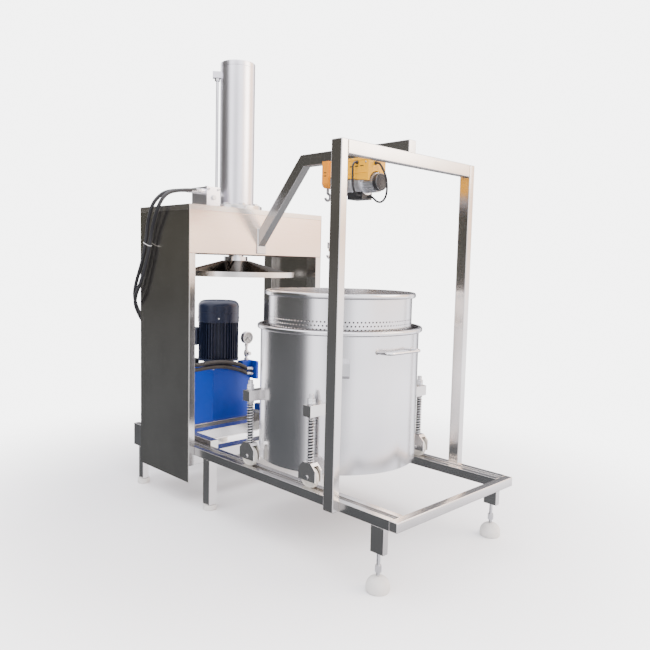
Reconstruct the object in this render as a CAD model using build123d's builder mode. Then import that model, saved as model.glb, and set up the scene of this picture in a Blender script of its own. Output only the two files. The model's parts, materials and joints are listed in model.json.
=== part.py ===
from build123d import *
import math
import os

# Electro-hydraulic basket press for wine: a press frame with a ram, a sprung barrel on
# wheels that rolls along two rails, a gantry with a rope hoist and a hydraulic power unit.
# Millimetres, +Z up, origin on the floor in the middle of the machine's length and width.
# The barrel goes in along +Y, so the open loading end is at -Y.

# Overall reach
side_reach = 480.0
rail_reach = 1408.0

# Fits
run_fit = 0.05
free_gap = 0.3
bolt_play = 0.25

# Rails and base
rail_low = 274.0
rail_high = 43.0
rail_wide = 88.0
rail_wall = 4.0
groove_wide = 30.0
groove_deep = 8.0
crossbar_deep = 40.0
rail_end_room = 69.0
base_low = 219.0
base_high = 130.0
base_tail = 86.0
bed_beam_deep = 80.0
bed_beam_high = 60.0
bed_beam_set = 20.0
rear_bar_deep = 40.0
rear_bar_high = 60.0
table_gap = 7.0
table_lead = 15.0
table_bar = 50.0

# Legs and feet
pad_radius = 35.0
pad_high = 30.0
front_leg_x = 30.0
front_leg_y = 71.0
front_leg_set = 66.0
front_leg_low = 161.0
mid_leg_x = 50.0
mid_leg_y = 60.0
mid_leg_ahead = 140.0
rear_leg_y = 50.0
rear_leg_set = 57.0
stud_radius = 8.0
nut_flats = 24.0
nut_high = 29.0
nut_low = 81.0
foot_radius = 50.0
foot_high = 64.0
foot_neck = 20.0
foot_rim = 12.0
foot_waist = 36.0
foot_waist_high = 36.0
foot_socket = 24.0

# Press frame
post_wide = 40.0
post_deep = 60.0
panel_thick = 3.0
panel_low = 130.0
press_deep = 503.0
column_deep = 80.0
head_low = 1363.0
head_high = 228.0
head_wall = 6.0
head_plate_thick = 28.0
head_hole = 60.0

# Gantry and hoist beam
gantry_ahead = 1092.0
gantry_top = 1830.0
gantry_beam_deep = 40.0
gantry_beam_high = 60.0
gantry_wall = 3.0
beam_high = 60.0
beam_wide = 50.0
beam_lap = 20.0
bend_ahead = 375.0
brace_foot_up = 52.0
foot_plate_wide = 64.0
foot_plate_thick = 8.0
foot_plate_rim = 10.0
foot_plate_drop = 44.0

# Cylinder and ram
ram_ahead = 235.0
flange_radius = 150.0
flange_thick = 30.0
flange_circle = 125.0
flange_bolt_count = 8
flange_bolt_radius = 10.0
flange_bolt_flats = 30.0
flange_bolt_head = 13.0
tube_radius = 100.0
tube_bore = 80.0
tube_length = 791.0
cap_high = 45.0
cap_crown = 300.0
port_boss = 36.0
port_boss_drop = 40.0
pipe_radius = 8.0
pipe_stand = 118.0
pipe_bend = 40.0
pipe_turn_degrees = 143.5
rod_radius = 45.0
piston_thick = 80.0
piston_drop = 40.0
rod_flange_radius = 70.0
rod_flange_thick = 24.0
plate_play = 8.0
plate_thick = 30.0
plate_clear = 48.0
hub_radius = 80.0
hub_high = 62.0
rib_count = 8
rib_set = 50.0
rib_thick = 12.0

# Port block on the head
block_long = 90.0
block_wide = 150.0
block_high = 121.0
block_out = 165.0
block_ahead = 170.0
fitting_radius = 14.0
fitting_long = 30.0
fitting_up = 95.0
fitting_ahead = 23.0
fitting_pitch = 40.0
hose_radius = 10.0

# Barrel and basket
cart_travel = 878.0
barrel_room = 40.0
barrel_wall = 4.0
barrel_clear = 41.0
barrel_floor = 8.0
barrel_high = 662.0
barrel_bead = 15.0
barrel_bead_high = 22.0
settle = 18.0
lug_wide = 60.0
lug_deep = 42.0
lug_high = 92.0
lug_up = 449.0
lug_slope = 18.0
lug_degrees = 226.7
spout_radius = 20.0
spout_bore = 16.0
spout_reach = 34.0
spout_up = 26.0
spout_collar = 26.0
spout_collar_reach = 6.0
handle_rod = 7.0
handle_out = 50.0
handle_left = 137.0
handle_right = 95.0
handle_up = 567.0
handle_bend = 28.0
basket_gap = 38.0
basket_wall = 4.0
basket_foot_high = 29.7
basket_high = 794.0
basket_bead = 18.0
basket_bead_high = 27.0
basket_foot_set = 52.0
basket_foot_wall = 10.0

# Sprung casters
fork_room = 9.0
caster_rod = 11.0
caster_rod_proud = 50.0
bracket_out = 28.0
bracket_wide = 50.0
bracket_up = 282.0
bracket_lap = 10.0
bracket_high = 52.0
fork_long = 110.0
fork_wide = 44.0
fork_wheel_gap = 4.7
fork_clear = 30.0
fork_slot = 30.0
fork_crown = 12.0
fork_chamfer = 30.0
axle_radius = 6.0
axle_head = 10.0
axle_head_thick = 4.0
wheel_radius = 52.0
wheel_wide = 24.0
wheel_rim = 4.0
hub_boss = 14.0
spring_wire = 4.5
spring_mean = 30.0
spring_turns = 16

# Power unit
platform_lead = 50.0
platform_side = 2.0
platform_low = 146.0
platform_thick = 12.0
platform_leg = 40.0
platform_leg_set = 15.0
platform_leg_inset = 8.0
platform_lug_wide = 50.0
platform_lug_thick = 8.0
platform_lug_high = 112.0
tank_side = 12.0
tank_room = 81.0
tank_wide = 316.0
tank_rear_set = 10.0
tank_deep = 320.0
tank_high = 417.0
tank_wall = 4.0
lid_thick = 20.0
lid_lip = 3.0
motor_inset = 150.0
motor_set = 152.0
housing_radius = 100.0
housing_high = 45.0
housing_wall = 12.0
motor_flange_radius = 140.0
motor_flange_thick = 15.0
motor_radius = 124.0
motor_high = 265.0
motor_bore = 80.0
motor_end_wall = 20.0
motor_fin_count = 40
motor_fin_deep = 14.0
motor_fin_thick = 4.0
motor_foot_room = 15.0
cowl_radius = 141.0
cowl_round = 42.0
cowl_wall = 4.0
cowl_high = 150.0
cowl_slot_count = 24
cowl_slot_wide = 6.0
cowl_slot_inner = 35.0
cowl_slot_outer = 90.0
shaft_radius = 19.0
rotor_radius = 79.0
fan_radius = 95.0
fan_thick = 6.0
fan_blade_high = 36.0
fan_blade_count = 9
fan_blade_inner = 26.0
fan_blade_outer = 92.0
fan_up = 24.0
terminal_out = 60.0
terminal_wide = 90.0
terminal_high = 120.0
terminal_up = 100.0
terminal_degrees = 135.0
pump_long = 110.0
pump_wide = 90.0
pump_high = 100.0
pump_nose = 40.0
pump_nose_radius = 40.0
pump_shaft_deep = 35.0
manifold_lap = 70.0
manifold_wide = 96.0
manifold_deep = 58.0
manifold_high = 40.0
port_arm_thick = 20.0
port_arm_ahead = 59.0
port_arm_drop = 85.0
hose_port_ahead = 18.0
hose_port_drop = 15.0
hose_port_pitch = 34.0
hose_lead = 65.0
hose_tail = 40.0
hose_bend_share = 0.45
gauge_set = 54.0
gauge_up = 200.0
gauge_radius = 42.0
gauge_deep = 34.0
gauge_recess = 12.0
gauge_wall = 4.0
gauge_stem = 9.0
gauge_stem_set = 24.0
needle_long = 30.0
needle_tail = 9.0
needle_wide = 4.0
needle_thick = 1.5
needle_hub = 5.0
needle_pin = 2.0
needle_pin_long = 6.0
needle_stand = 3.0
needle_start_degrees = 225.0
cap_radius = 30.0
cap_tall = 45.0
cap_inset = 40.0
cap_round = 6.0

# Rope hoist under the hoist beam
gearcase_rear = 565.0
gearcase_deep = 44.0
gearcase_half = 75.0
gearcase_high = 130.0
gearcase_round = 26.0
gearcase_pocket = 22.0
gearcase_cheek = 15.0
housing_long = 255.0
housing_half = 62.0
housing_drop = 80.0
housing_slope = 30.0
housing_arch = 52.0
housing_skin = 4.0
drum_drop = 90.0
drum_radius = 38.0
drum_flange = 46.0
drum_flange_thick = 4.0
drum_long = 83.0
drum_end_gap = 4.0
drum_shaft = 10.0
drum_shaft_in = 12.0
rope_radius = 3.0
rope_set = 8.0
winding_set = 14.0
winding_turns = 8
winding_pitch = 6.8
hoist_motor_drop = 115.0
hoist_motor_long = 194.0
hoist_motor_radius = 43.0
hoist_fin_radius = 47.0
hoist_fin_count = 12
hoist_fin_thick = 5.0
hoist_bell_long = 126.0
hoist_bell_radius = 55.0
hoist_cap_long = 22.0
hoist_cap_radius = 40.0
saddle_half = 22.0
saddle_inset = 10.0
capacitor_long = 97.0
capacitor_half = 36.0
capacitor_drop = 192.0
cable_radius = 3.5
cable_up = 15.0
cable_side_set = 12.0
lever_set = 11.0
lever_long = 52.0
lever_wide = 16.0
lever_thick = 8.0
lever_drop = 24.0
lever_ear = 6.0
lever_pin = 4.0
hook_drop = 399.0
hook_shank = 7.0
hook_shank_long = 26.0
hook_bend = 17.0
hook_wire = 6.5
socket_radius = 13.0
socket_high = 30.0
socket_deep = 20.0
hook_sweep_degrees = 255.0
anchor_x = 42.0
anchor_set = 11.0

# Places that follow from the sizes above
base_length = press_deep + base_tail
unit_reach = base_length + tank_room + tank_deep + tank_rear_set
press_front = (rail_reach - unit_reach) / 2
rail_outer = side_reach - post_wide
rail_inner = rail_outer - rail_wide
rail_top = rail_low + rail_high
groove_x = (rail_outer + rail_inner) / 2
groove_floor = rail_top - groove_deep
panel_inner = side_reach - panel_thick
crossbar_front = press_front - rail_reach
crossbar_rear = crossbar_front + crossbar_deep
press_rear = press_front + press_deep
base_top = base_low + base_high
base_rear = press_front + base_length
bed_rear_y = press_rear - bed_beam_set
rail_rear = base_rear - rail_end_room
barrel_low = rail_top + barrel_clear
table_top = barrel_low - settle - free_gap
table_half = rail_inner - table_gap
head_top = head_low + head_high
head_plate_top = head_top + head_plate_thick
ram_y = press_front + ram_ahead
cart_y = ram_y - cart_travel
flange_top = head_plate_top + flange_thick
tube_top = flange_top + tube_length
piston_top = tube_top - piston_drop
gantry_front = press_front - gantry_ahead
barrel_radius = rail_outer - barrel_room
barrel_top = barrel_low + barrel_high
barrel_floor_top = barrel_low + barrel_floor
basket_foot_low = barrel_floor_top + free_gap
basket_low = basket_foot_low + basket_foot_high
basket_top = basket_low + basket_high
basket_radius = barrel_radius - basket_gap
basket_foot_outer = basket_radius - basket_foot_set
plate_radius = basket_radius - basket_wall - plate_play
plate_low = basket_top + plate_clear
plate_top = plate_low + plate_thick
hub_top = plate_top + hub_high
rib_reach = plate_radius - rib_set
lug_low = barrel_low + lug_up
spout_z = barrel_floor_top + spout_up
handle_z = barrel_low + handle_up
wheel_z = groove_floor + free_gap + wheel_radius
caster_x = groove_x
fork_inner = caster_x - fork_wide / 2 - fork_room
caster_y = fork_long / 2 + math.sqrt(barrel_radius**2 - fork_inner**2)
fork_top = wheel_z + wheel_radius + fork_wheel_gap + fork_crown
fork_low = rail_top + fork_clear
bracket_low = barrel_low + bracket_up
bracket_top = bracket_low + bracket_high
bracket_inner = math.sqrt(barrel_radius**2 - (caster_y + bracket_wide / 2) ** 2) - bracket_lap
caster_rod_top = bracket_top + caster_rod_proud
caster_places = [(side * caster_x, cart_y + end * caster_y) for end in (-1, 1) for side in (-1, 1)]
spring_top = bracket_low - free_gap
spring_low = fork_top
platform_top = platform_low + platform_thick
platform_right = side_reach - platform_side
unit_rear = press_front + unit_reach
tank_right = platform_right - tank_side
tank_left = tank_right - tank_wide
platform_left = tank_left - platform_lead
tank_rear = unit_rear - tank_rear_set
tank_front = tank_rear - tank_deep
tank_top = platform_top + tank_high
lid_top = tank_top + lid_thick
motor_x = tank_left + motor_inset
motor_y = tank_front + motor_set
motor_low = lid_top + housing_high
motor_top = motor_low + motor_high
cowl_top = motor_top + cowl_high
terminal_low = motor_low + terminal_up
manifold_front = tank_front
manifold_left = tank_right - manifold_lap
manifold_right = manifold_left + manifold_wide
port_arm_left = manifold_right - port_arm_thick
gauge_x = manifold_left + gauge_set
gauge_z = lid_top + gauge_up
gauge_front = manifold_front + gauge_stem_set - gauge_deep / 2
block_front = press_front + block_ahead
block_top = head_plate_top + block_high
fitting_z = head_plate_top + fitting_up
gearcase_back = press_front - gearcase_rear
gearcase_face = gearcase_back - gearcase_deep
gearcase_floor = gearcase_back - gearcase_pocket
drum_z = gantry_top - drum_drop
drum_back = gearcase_floor - drum_end_gap
drum_face = drum_back - drum_long
rope_x = -(drum_radius + rope_radius + free_gap)
rope_y = drum_back - rope_set
hook_top = gantry_top - hook_drop
hoist_motor_z = gantry_top - hoist_motor_drop
hoist_back = drum_face - drum_end_gap
hoist_bell_face = hoist_back - hoist_bell_long
hoist_face = hoist_back - hoist_motor_long

os.makedirs("parts", exist_ok=True)


def block(x, y, z, mode=Mode.ADD):
    """A block between three pairs of limits."""
    centre = ((x[0] + x[1]) / 2, (y[0] + y[1]) / 2, (z[0] + z[1]) / 2)
    with Locations(centre):
        Box(abs(x[1] - x[0]), abs(y[1] - y[0]), abs(z[1] - z[0]), mode=mode)


def upright(place, z, radius, mode=Mode.ADD):
    """A vertical cylinder at a place in plan, between two heights."""
    with Locations((place[0], place[1], (z[0] + z[1]) / 2)):
        Cylinder(radius, abs(z[1] - z[0]), mode=mode)


def along_y(place, y, radius, mode=Mode.ADD):
    """A cylinder along Y at a place in X and Z, between two values of Y."""
    with Locations(Location((place[0], (y[0] + y[1]) / 2, place[1]), (90, 0, 0))):
        Cylinder(radius, abs(y[1] - y[0]), mode=mode)


def along_x(place, x, radius, mode=Mode.ADD):
    """A cylinder along X at a place in Y and Z, between two values of X."""
    with Locations(Location(((x[0] + x[1]) / 2, place[0], place[1]), (0, 90, 0))):
        Cylinder(radius, abs(x[1] - x[0]), mode=mode)


def save(piece, name):
    """Label a finished piece and write it."""
    piece.part.label = name
    export_step(piece.part, f"parts/{name}.step")


# Two grooved rails for the wheels
with BuildPart() as side_rails:
    for side in (-1, 1):
        rail_x = (side * rail_inner, side * rail_outer)
        hollow_x = (side * (rail_inner + rail_wall), side * (rail_outer - rail_wall))
        groove = (side * groove_x - groove_wide / 2, side * groove_x + groove_wide / 2)
        block(rail_x, (crossbar_rear, rail_rear), (rail_low, rail_top))
        block(
            hollow_x,
            (crossbar_rear + rail_wall, rail_rear - rail_wall),
            (rail_low + rail_wall, groove_floor - rail_wall),
            mode=Mode.SUBTRACT,
        )
        block(groove, (crossbar_rear, rail_rear), (groove_floor, rail_top), mode=Mode.SUBTRACT)
save(side_rails, "side_rails")

with BuildPart() as front_crossbar:
    block((-rail_outer, rail_outer), (crossbar_front, crossbar_rear), (rail_low, rail_top))
    block(
        (-rail_outer + rail_wall, rail_outer - rail_wall),
        (crossbar_front + rail_wall, crossbar_rear - rail_wall),
        (rail_low + rail_wall, rail_top - rail_wall),
        mode=Mode.SUBTRACT,
    )
save(front_crossbar, "front_crossbar")

# Legs under the rails and the base, the front pair on levelling feet
front_leg_y0 = crossbar_front + front_leg_set
mid_leg_y0 = press_front - mid_leg_ahead
rear_leg_y1 = base_rear - rear_leg_set
front_places = [
    (side * (rail_outer - front_leg_x / 2), front_leg_y0 + front_leg_y / 2) for side in (-1, 1)
]
mid_places = [(side * (rail_outer - mid_leg_x / 2), mid_leg_y0 + mid_leg_y / 2) for side in (-1, 1)]
rear_places = [
    (side * (rail_outer + panel_inner) / 2, rear_leg_y1 - rear_leg_y / 2) for side in (-1, 1)
]
with BuildPart() as rail_legs:
    for side in (-1, 1):
        block(
            (side * (rail_outer - front_leg_x), side * rail_outer),
            (front_leg_y0, front_leg_y0 + front_leg_y),
            (front_leg_low, rail_low),
        )
        block(
            (side * (rail_outer - mid_leg_x), side * rail_outer),
            (mid_leg_y0, mid_leg_y0 + mid_leg_y),
            (pad_high, rail_low),
        )
        block(
            (side * rail_outer, side * panel_inner),
            (rear_leg_y1 - rear_leg_y, rear_leg_y1),
            (pad_high, base_low),
        )
save(rail_legs, "rail_legs")

# Threaded studs and lock nuts of the front feet
with BuildPart() as foot_screws:
    for place in front_places:
        upright(place, (foot_high - foot_socket, front_leg_low), stud_radius)
        with BuildSketch(Plane.XY.offset(nut_low)):
            with Locations(place):
                RegularPolygon(nut_flats / 2, 6, major_radius=False)
        extrude(amount=nut_high)
save(foot_screws, "foot_screws")

with BuildPart() as bell_feet:
    for place in front_places:
        bell_plane = Plane(origin=(place[0], place[1], 0), x_dir=(1, 0, 0), z_dir=(0, -1, 0))
        with BuildSketch(bell_plane):
            with BuildLine():
                bell_side = Line((foot_radius, 0), (foot_radius, foot_rim))
                bell_top = Line((foot_neck, foot_high), (0, foot_high))
                ThreePointArc(bell_side @ 1, (foot_waist, foot_waist_high), bell_top @ 0)
                Polyline(bell_top @ 1, (0, 0), bell_side @ 0)
            make_face()
        revolve(axis=Axis((place[0], place[1], 0), (0, 0, 1)))
        upright(
            place, (foot_high - foot_socket, foot_high), stud_radius + run_fit, mode=Mode.SUBTRACT
        )
save(bell_feet, "bell_feet")

# Base of the press: side beams, two bed beams and a rear crossbar
bed_beams_y = [
    (press_front + bed_beam_set, press_front + bed_beam_set + bed_beam_deep),
    (bed_rear_y - bed_beam_deep, bed_rear_y),
]
with BuildPart() as base_beams:
    for side in (-1, 1):
        block((side * rail_outer, side * panel_inner), (press_front, base_rear), (base_low, base_top))
    for beam_y in bed_beams_y:
        block((-rail_outer, rail_outer), beam_y, (rail_low - bed_beam_high, rail_low))
    block(
        (-rail_outer, rail_outer),
        (base_rear - rear_bar_deep, base_rear),
        (base_low, base_low + rear_bar_high),
    )
save(base_beams, "base_beams")

# Table that the barrel is pressed down onto, on ribs across the bed beams
with BuildPart() as bed_table:
    table_y = (press_front - table_lead, bed_rear_y)
    for side in (-1, 1):
        block((side * (table_half - table_bar), side * table_half), table_y, (rail_low, table_top))
save(bed_table, "bed_table")

columns_y = [(press_front, press_front + column_deep), (press_rear - column_deep, press_rear)]
with BuildPart() as press_columns:
    for side in (-1, 1):
        for column_y in columns_y:
            block((side * rail_outer, side * panel_inner), column_y, (base_top, head_low))
save(press_columns, "press_columns")

with BuildPart() as side_panels:
    for side in (-1, 1):
        block((side * panel_inner, side * side_reach), (press_front, press_rear), (panel_low, head_top))
save(side_panels, "side_panels")

with BuildPart() as head_beams:
    for column_y in columns_y:
        block((-panel_inner, panel_inner), column_y, (head_low, head_top))
        block(
            (-panel_inner + head_wall, panel_inner - head_wall),
            (column_y[0] + head_wall, column_y[1] - head_wall),
            (head_low + head_wall, head_top - head_wall),
            mode=Mode.SUBTRACT,
        )
save(head_beams, "head_beams")

# Head plate, with the ram's hole and the holes of the cylinder's bolts
with BuildPart() as head_plate:
    block((-side_reach, side_reach), (press_front, press_rear), (head_top, head_plate_top))
    upright((0, ram_y), (head_top, head_plate_top), head_hole, mode=Mode.SUBTRACT)
    with Locations((0, ram_y, head_plate_top)):
        with PolarLocations(flange_circle, flange_bolt_count, start_angle=180 / flange_bolt_count):
            Hole(flange_bolt_radius + bolt_play, head_plate_thick)
save(head_plate, "head_plate")

# Gantry: two posts on the outside of the rails and a beam between them
with BuildPart() as gantry_posts:
    for side in (-1, 1):
        block(
            (side * rail_outer, side * side_reach),
            (gantry_front, gantry_front + post_deep),
            (rail_low, gantry_top),
        )
        block(
            (side * (rail_outer + gantry_wall), side * (side_reach - gantry_wall)),
            (gantry_front + gantry_wall, gantry_front + post_deep - gantry_wall),
            (rail_low + gantry_wall, gantry_top - gantry_wall),
            mode=Mode.SUBTRACT,
        )
save(gantry_posts, "gantry_posts")

with BuildPart() as gantry_beam:
    block(
        (-rail_outer, rail_outer),
        (gantry_front, gantry_front + gantry_beam_deep),
        (gantry_top - gantry_beam_high, gantry_top),
    )
    block(
        (-rail_outer + gantry_wall, rail_outer - gantry_wall),
        (gantry_front + gantry_wall, gantry_front + gantry_beam_deep - gantry_wall),
        (gantry_top - gantry_beam_high + gantry_wall, gantry_top - gantry_wall),
        mode=Mode.SUBTRACT,
    )
save(gantry_beam, "gantry_beam")

# Hoist beam: level over the barrel, then sloping down to a foot plate on the head
beam_front = gantry_front + gantry_beam_deep - beam_lap
brace_face = press_front - foot_plate_thick
bend_low = Vector(press_front - bend_ahead, gantry_top)
brace_low = Vector(brace_face, head_low + brace_foot_up)
brace_way = (brace_low - bend_low).normalized()
brace_up = Vector(-brace_way.Y, brace_way.X)
brace_edge = bend_low + brace_up * beam_high
bend_top = brace_edge + brace_way * ((gantry_top + beam_high - brace_edge.Y) / brace_way.Y)
brace_top = brace_edge + brace_way * ((brace_face - brace_edge.X) / brace_way.X)
with BuildPart() as hoist_beam:
    with BuildSketch(Plane.YZ) as beam_side:
        with BuildLine():
            Polyline(
                (beam_front, gantry_top),
                bend_low,
                brace_low,
                brace_top,
                bend_top,
                (beam_front, gantry_top + beam_high),
                close=True,
            )
        make_face()
    extrude(amount=beam_wide / 2, both=True)
    with BuildSketch(Plane.YZ):
        offset(beam_side.sketch_local, amount=-gantry_wall)
    extrude(amount=beam_wide / 2 - gantry_wall, both=True, mode=Mode.SUBTRACT)
    block(
        (-foot_plate_wide / 2, foot_plate_wide / 2),
        (brace_face, press_front),
        (brace_low.Y - foot_plate_drop, brace_top.Y + foot_plate_rim),
    )
save(hoist_beam, "hoist_beam")

# Pads under the plain legs, the power unit's legs included
unit_leg_places = [
    (
        platform_left + platform_leg_inset + platform_leg / 2,
        unit_rear - platform_leg_set - platform_leg / 2,
    ),
    (
        platform_right - platform_leg_inset - platform_leg / 2,
        unit_rear - platform_leg_set - platform_leg / 2,
    ),
]
with BuildPart() as leg_pads:
    for place in mid_places + rear_places + unit_leg_places:
        upright(place, (0, pad_high), pad_radius)
save(leg_pads, "leg_pads")

# Hydraulic cylinder: flange with the rod's gland, tube with a top port, domed cap
with BuildPart() as cylinder_flange:
    upright((0, ram_y), (head_plate_top, flange_top), flange_radius)
    upright((0, ram_y), (head_plate_top, flange_top), rod_radius + run_fit, mode=Mode.SUBTRACT)
    with Locations((0, ram_y, flange_top)):
        with PolarLocations(flange_circle, flange_bolt_count, start_angle=180 / flange_bolt_count):
            Hole(flange_bolt_radius + bolt_play, flange_thick)
save(cylinder_flange, "cylinder_flange")

with BuildPart() as flange_bolts:
    with Locations((0, ram_y, flange_top)):
        with PolarLocations(flange_circle, flange_bolt_count, start_angle=180 / flange_bolt_count):
            Cylinder(
                flange_bolt_radius,
                flange_thick + head_plate_thick,
                align=(Align.CENTER, Align.CENTER, Align.MAX),
            )
    with BuildSketch(Plane.XY.offset(flange_top)):
        with Locations((0, ram_y)):
            with PolarLocations(flange_circle, flange_bolt_count, start_angle=180 / flange_bolt_count):
                RegularPolygon(flange_bolt_flats / 2, 6, major_radius=False)
    extrude(amount=flange_bolt_head)
save(flange_bolts, "flange_bolts")

pipe_way = Vector(1, 0).rotate(Axis.Z, pipe_turn_degrees)
pipe_x = pipe_stand * pipe_way.X
pipe_y = ram_y + pipe_stand * pipe_way.Y
port_z = tube_top - port_boss_drop
with BuildPart() as cylinder_tube:
    upright((0, ram_y), (flange_top, tube_top), tube_radius)
    with Locations(Location((pipe_x, pipe_y, port_z), (0, 0, pipe_turn_degrees))):
        Box(2 * (pipe_stand - tube_radius) + port_boss / 2, port_boss, port_boss)
    upright((0, ram_y), (flange_top, tube_top), tube_bore, mode=Mode.SUBTRACT)
save(cylinder_tube, "cylinder_tube")

with BuildPart() as cylinder_cap:
    upright((0, ram_y), (tube_top, tube_top + cap_high), tube_radius)
    with Locations((0, ram_y, tube_top + cap_high - cap_crown)):
        Sphere(cap_crown, mode=Mode.INTERSECT)
save(cylinder_cap, "cylinder_cap")

# Steel pipe from the top port down the tube to the port block
pipe_turn_z = head_plate_top + fitting_up
with BuildPart() as cylinder_pipe:
    with BuildLine() as pipe_path:
        FilletPolyline(
            (pipe_x, pipe_y, port_z - port_boss / 2),
            (pipe_x, pipe_y, pipe_turn_z),
            (-block_out, pipe_y, pipe_turn_z),
            radius=pipe_bend,
        )
    with BuildSketch(Plane.XY.offset(port_z - port_boss / 2)):
        with Locations((pipe_x, pipe_y)):
            Circle(pipe_radius)
    sweep(path=pipe_path.line)
save(cylinder_pipe, "cylinder_pipe")

# Port block on the head plate, with two hose fittings towards the side panel
fitting_places = [block_front + fitting_ahead + i * fitting_pitch for i in (0, 1)]
fitting_end = -block_out - block_long - fitting_long
with BuildPart() as port_block:
    block(
        (-block_out - block_long, -block_out),
        (block_front, block_front + block_wide),
        (head_plate_top, block_top),
    )
    for fitting_y in fitting_places:
        along_x((fitting_y, fitting_z), (fitting_end, -block_out - block_long), fitting_radius)
save(port_block, "port_block")

# Ram: piston, rod and rod flange in one, and the ribbed press plate under it
with BuildPart() as piston_rod:
    upright((0, ram_y), (hub_top, piston_top), rod_radius)
    upright((0, ram_y), (piston_top - piston_thick, piston_top), tube_bore - run_fit)
    upright((0, ram_y), (hub_top, hub_top + rod_flange_thick), rod_flange_radius)
save(piston_rod, "piston_rod")

with BuildPart() as press_plate:
    upright((0, ram_y), (plate_low, plate_top), plate_radius)
    upright((0, ram_y), (plate_top, hub_top), hub_radius)
    for k in range(rib_count):
        rib_plane = Plane(Location((0, ram_y, plate_top), (0, 0, k * 360 / rib_count)))
        rib_side = Plane(origin=rib_plane.origin, x_dir=rib_plane.x_dir, z_dir=rib_plane.y_dir)
        with BuildSketch(rib_side):
            with BuildLine():
                Polyline((0, 0), (0, -hub_high), (hub_radius, -hub_high), (rib_reach, 0), close=True)
            make_face()
        extrude(amount=rib_thick / 2, both=True)
save(press_plate, "press_plate")

# Outer barrel that catches the juice, with two box lugs and a spout
barrel_axis = Axis((0, cart_y, 0), (0, 0, 1))
with BuildPart() as outer_barrel:
    upright((0, cart_y), (barrel_low, barrel_top), barrel_radius)
    for lug_turn in (lug_degrees, lug_degrees - 180):
        lug_plane = Plane(Location((0, cart_y, 0), (0, 0, lug_turn)))
        lug_side = Plane(origin=lug_plane.origin, x_dir=lug_plane.x_dir, z_dir=-lug_plane.y_dir)
        lug_top = lug_low + lug_high
        with BuildSketch(lug_side):
            with BuildLine():
                Polyline(
                    (barrel_radius - lug_deep, lug_low),
                    (barrel_radius, lug_low),
                    (barrel_radius + lug_deep, lug_low + lug_slope),
                    (barrel_radius + lug_deep, lug_top - lug_slope),
                    (barrel_radius, lug_top),
                    (barrel_radius - lug_deep, lug_top),
                    close=True,
                )
            make_face()
        extrude(amount=lug_wide / 2, both=True)
    along_x((cart_y, spout_z), (0, barrel_radius + spout_reach), spout_radius)
    along_x((cart_y, spout_z), (0, barrel_radius + spout_collar_reach), spout_collar)
    upright(
        (0, cart_y), (barrel_floor_top, barrel_top), barrel_radius - barrel_wall, mode=Mode.SUBTRACT
    )
    along_x((cart_y, spout_z), (0, barrel_radius + spout_reach), spout_bore, mode=Mode.SUBTRACT)
    with BuildSketch(Plane.XZ.offset(-cart_y)):
        with Locations((barrel_radius + barrel_bead / 2, barrel_top - barrel_bead_high / 2)):
            RectangleRounded(barrel_bead + barrel_wall, barrel_bead_high, barrel_bead / 2)
    revolve(axis=barrel_axis)
save(outer_barrel, "outer_barrel")

# Pull handle: a bent rod in front of the barrel
handle_y = cart_y - barrel_radius - handle_out
handle_ends = [
    cart_y - math.sqrt(barrel_radius**2 - reach**2) for reach in (handle_left, handle_right)
]
with BuildPart() as pull_handle:
    with BuildLine() as handle_path:
        FilletPolyline(
            (-handle_left, handle_ends[0], handle_z),
            (-handle_left, handle_y, handle_z),
            (handle_right, handle_y, handle_z),
            (handle_right, handle_ends[1], handle_z),
            radius=handle_bend,
        )
    with BuildSketch(Plane(origin=handle_path.line @ 0, z_dir=handle_path.line % 0)):
        Circle(handle_rod)
    sweep(path=handle_path.line)
    for reach, end in ((-handle_left, handle_ends[0]), (handle_right, handle_ends[1])):
        along_y((reach, handle_z), (end, end + handle_rod * 2), handle_rod)
    upright(
        (0, cart_y),
        (handle_z - 2 * handle_rod, handle_z + 2 * handle_rod),
        barrel_radius,
        mode=Mode.SUBTRACT,
    )
save(pull_handle, "pull_handle")

# Basket that holds the fruit inside the barrel, on a foot ring
with BuildPart() as basket:
    upright((0, cart_y), (basket_low, basket_top), basket_radius)
    upright((0, cart_y), (basket_foot_low, basket_low), basket_foot_outer)
    upright(
        (0, cart_y),
        (basket_foot_low, basket_low),
        basket_foot_outer - basket_foot_wall,
        mode=Mode.SUBTRACT,
    )
    upright(
        (0, cart_y),
        (basket_low + basket_wall, basket_top),
        basket_radius - basket_wall,
        mode=Mode.SUBTRACT,
    )
    with BuildSketch(Plane.XZ.offset(-cart_y)):
        basket_bead_x = basket_radius + basket_bead / 2 - basket_wall / 4
        with Locations((basket_bead_x, basket_top - basket_bead_high / 2)):
            RectangleRounded(basket_bead + basket_wall / 2, basket_bead_high, basket_bead / 2)
    revolve(axis=barrel_axis)
save(basket, "basket")

# Brackets welded to the barrel, each bored for a caster rod
with BuildPart() as caster_brackets:
    for place in caster_places:
        side = math.copysign(1, place[0])
        block(
            (side * bracket_inner, side * (caster_x + bracket_out)),
            (place[1] - bracket_wide / 2, place[1] + bracket_wide / 2),
            (bracket_low, bracket_top),
        )
        upright(
            place,
            (bracket_low, bracket_top),
            caster_rod + run_fit,
            mode=Mode.SUBTRACT,
        )
    upright(
        (0, cart_y), (bracket_low, bracket_top), barrel_radius, mode=Mode.SUBTRACT
    )
save(caster_brackets, "caster_brackets")

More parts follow.
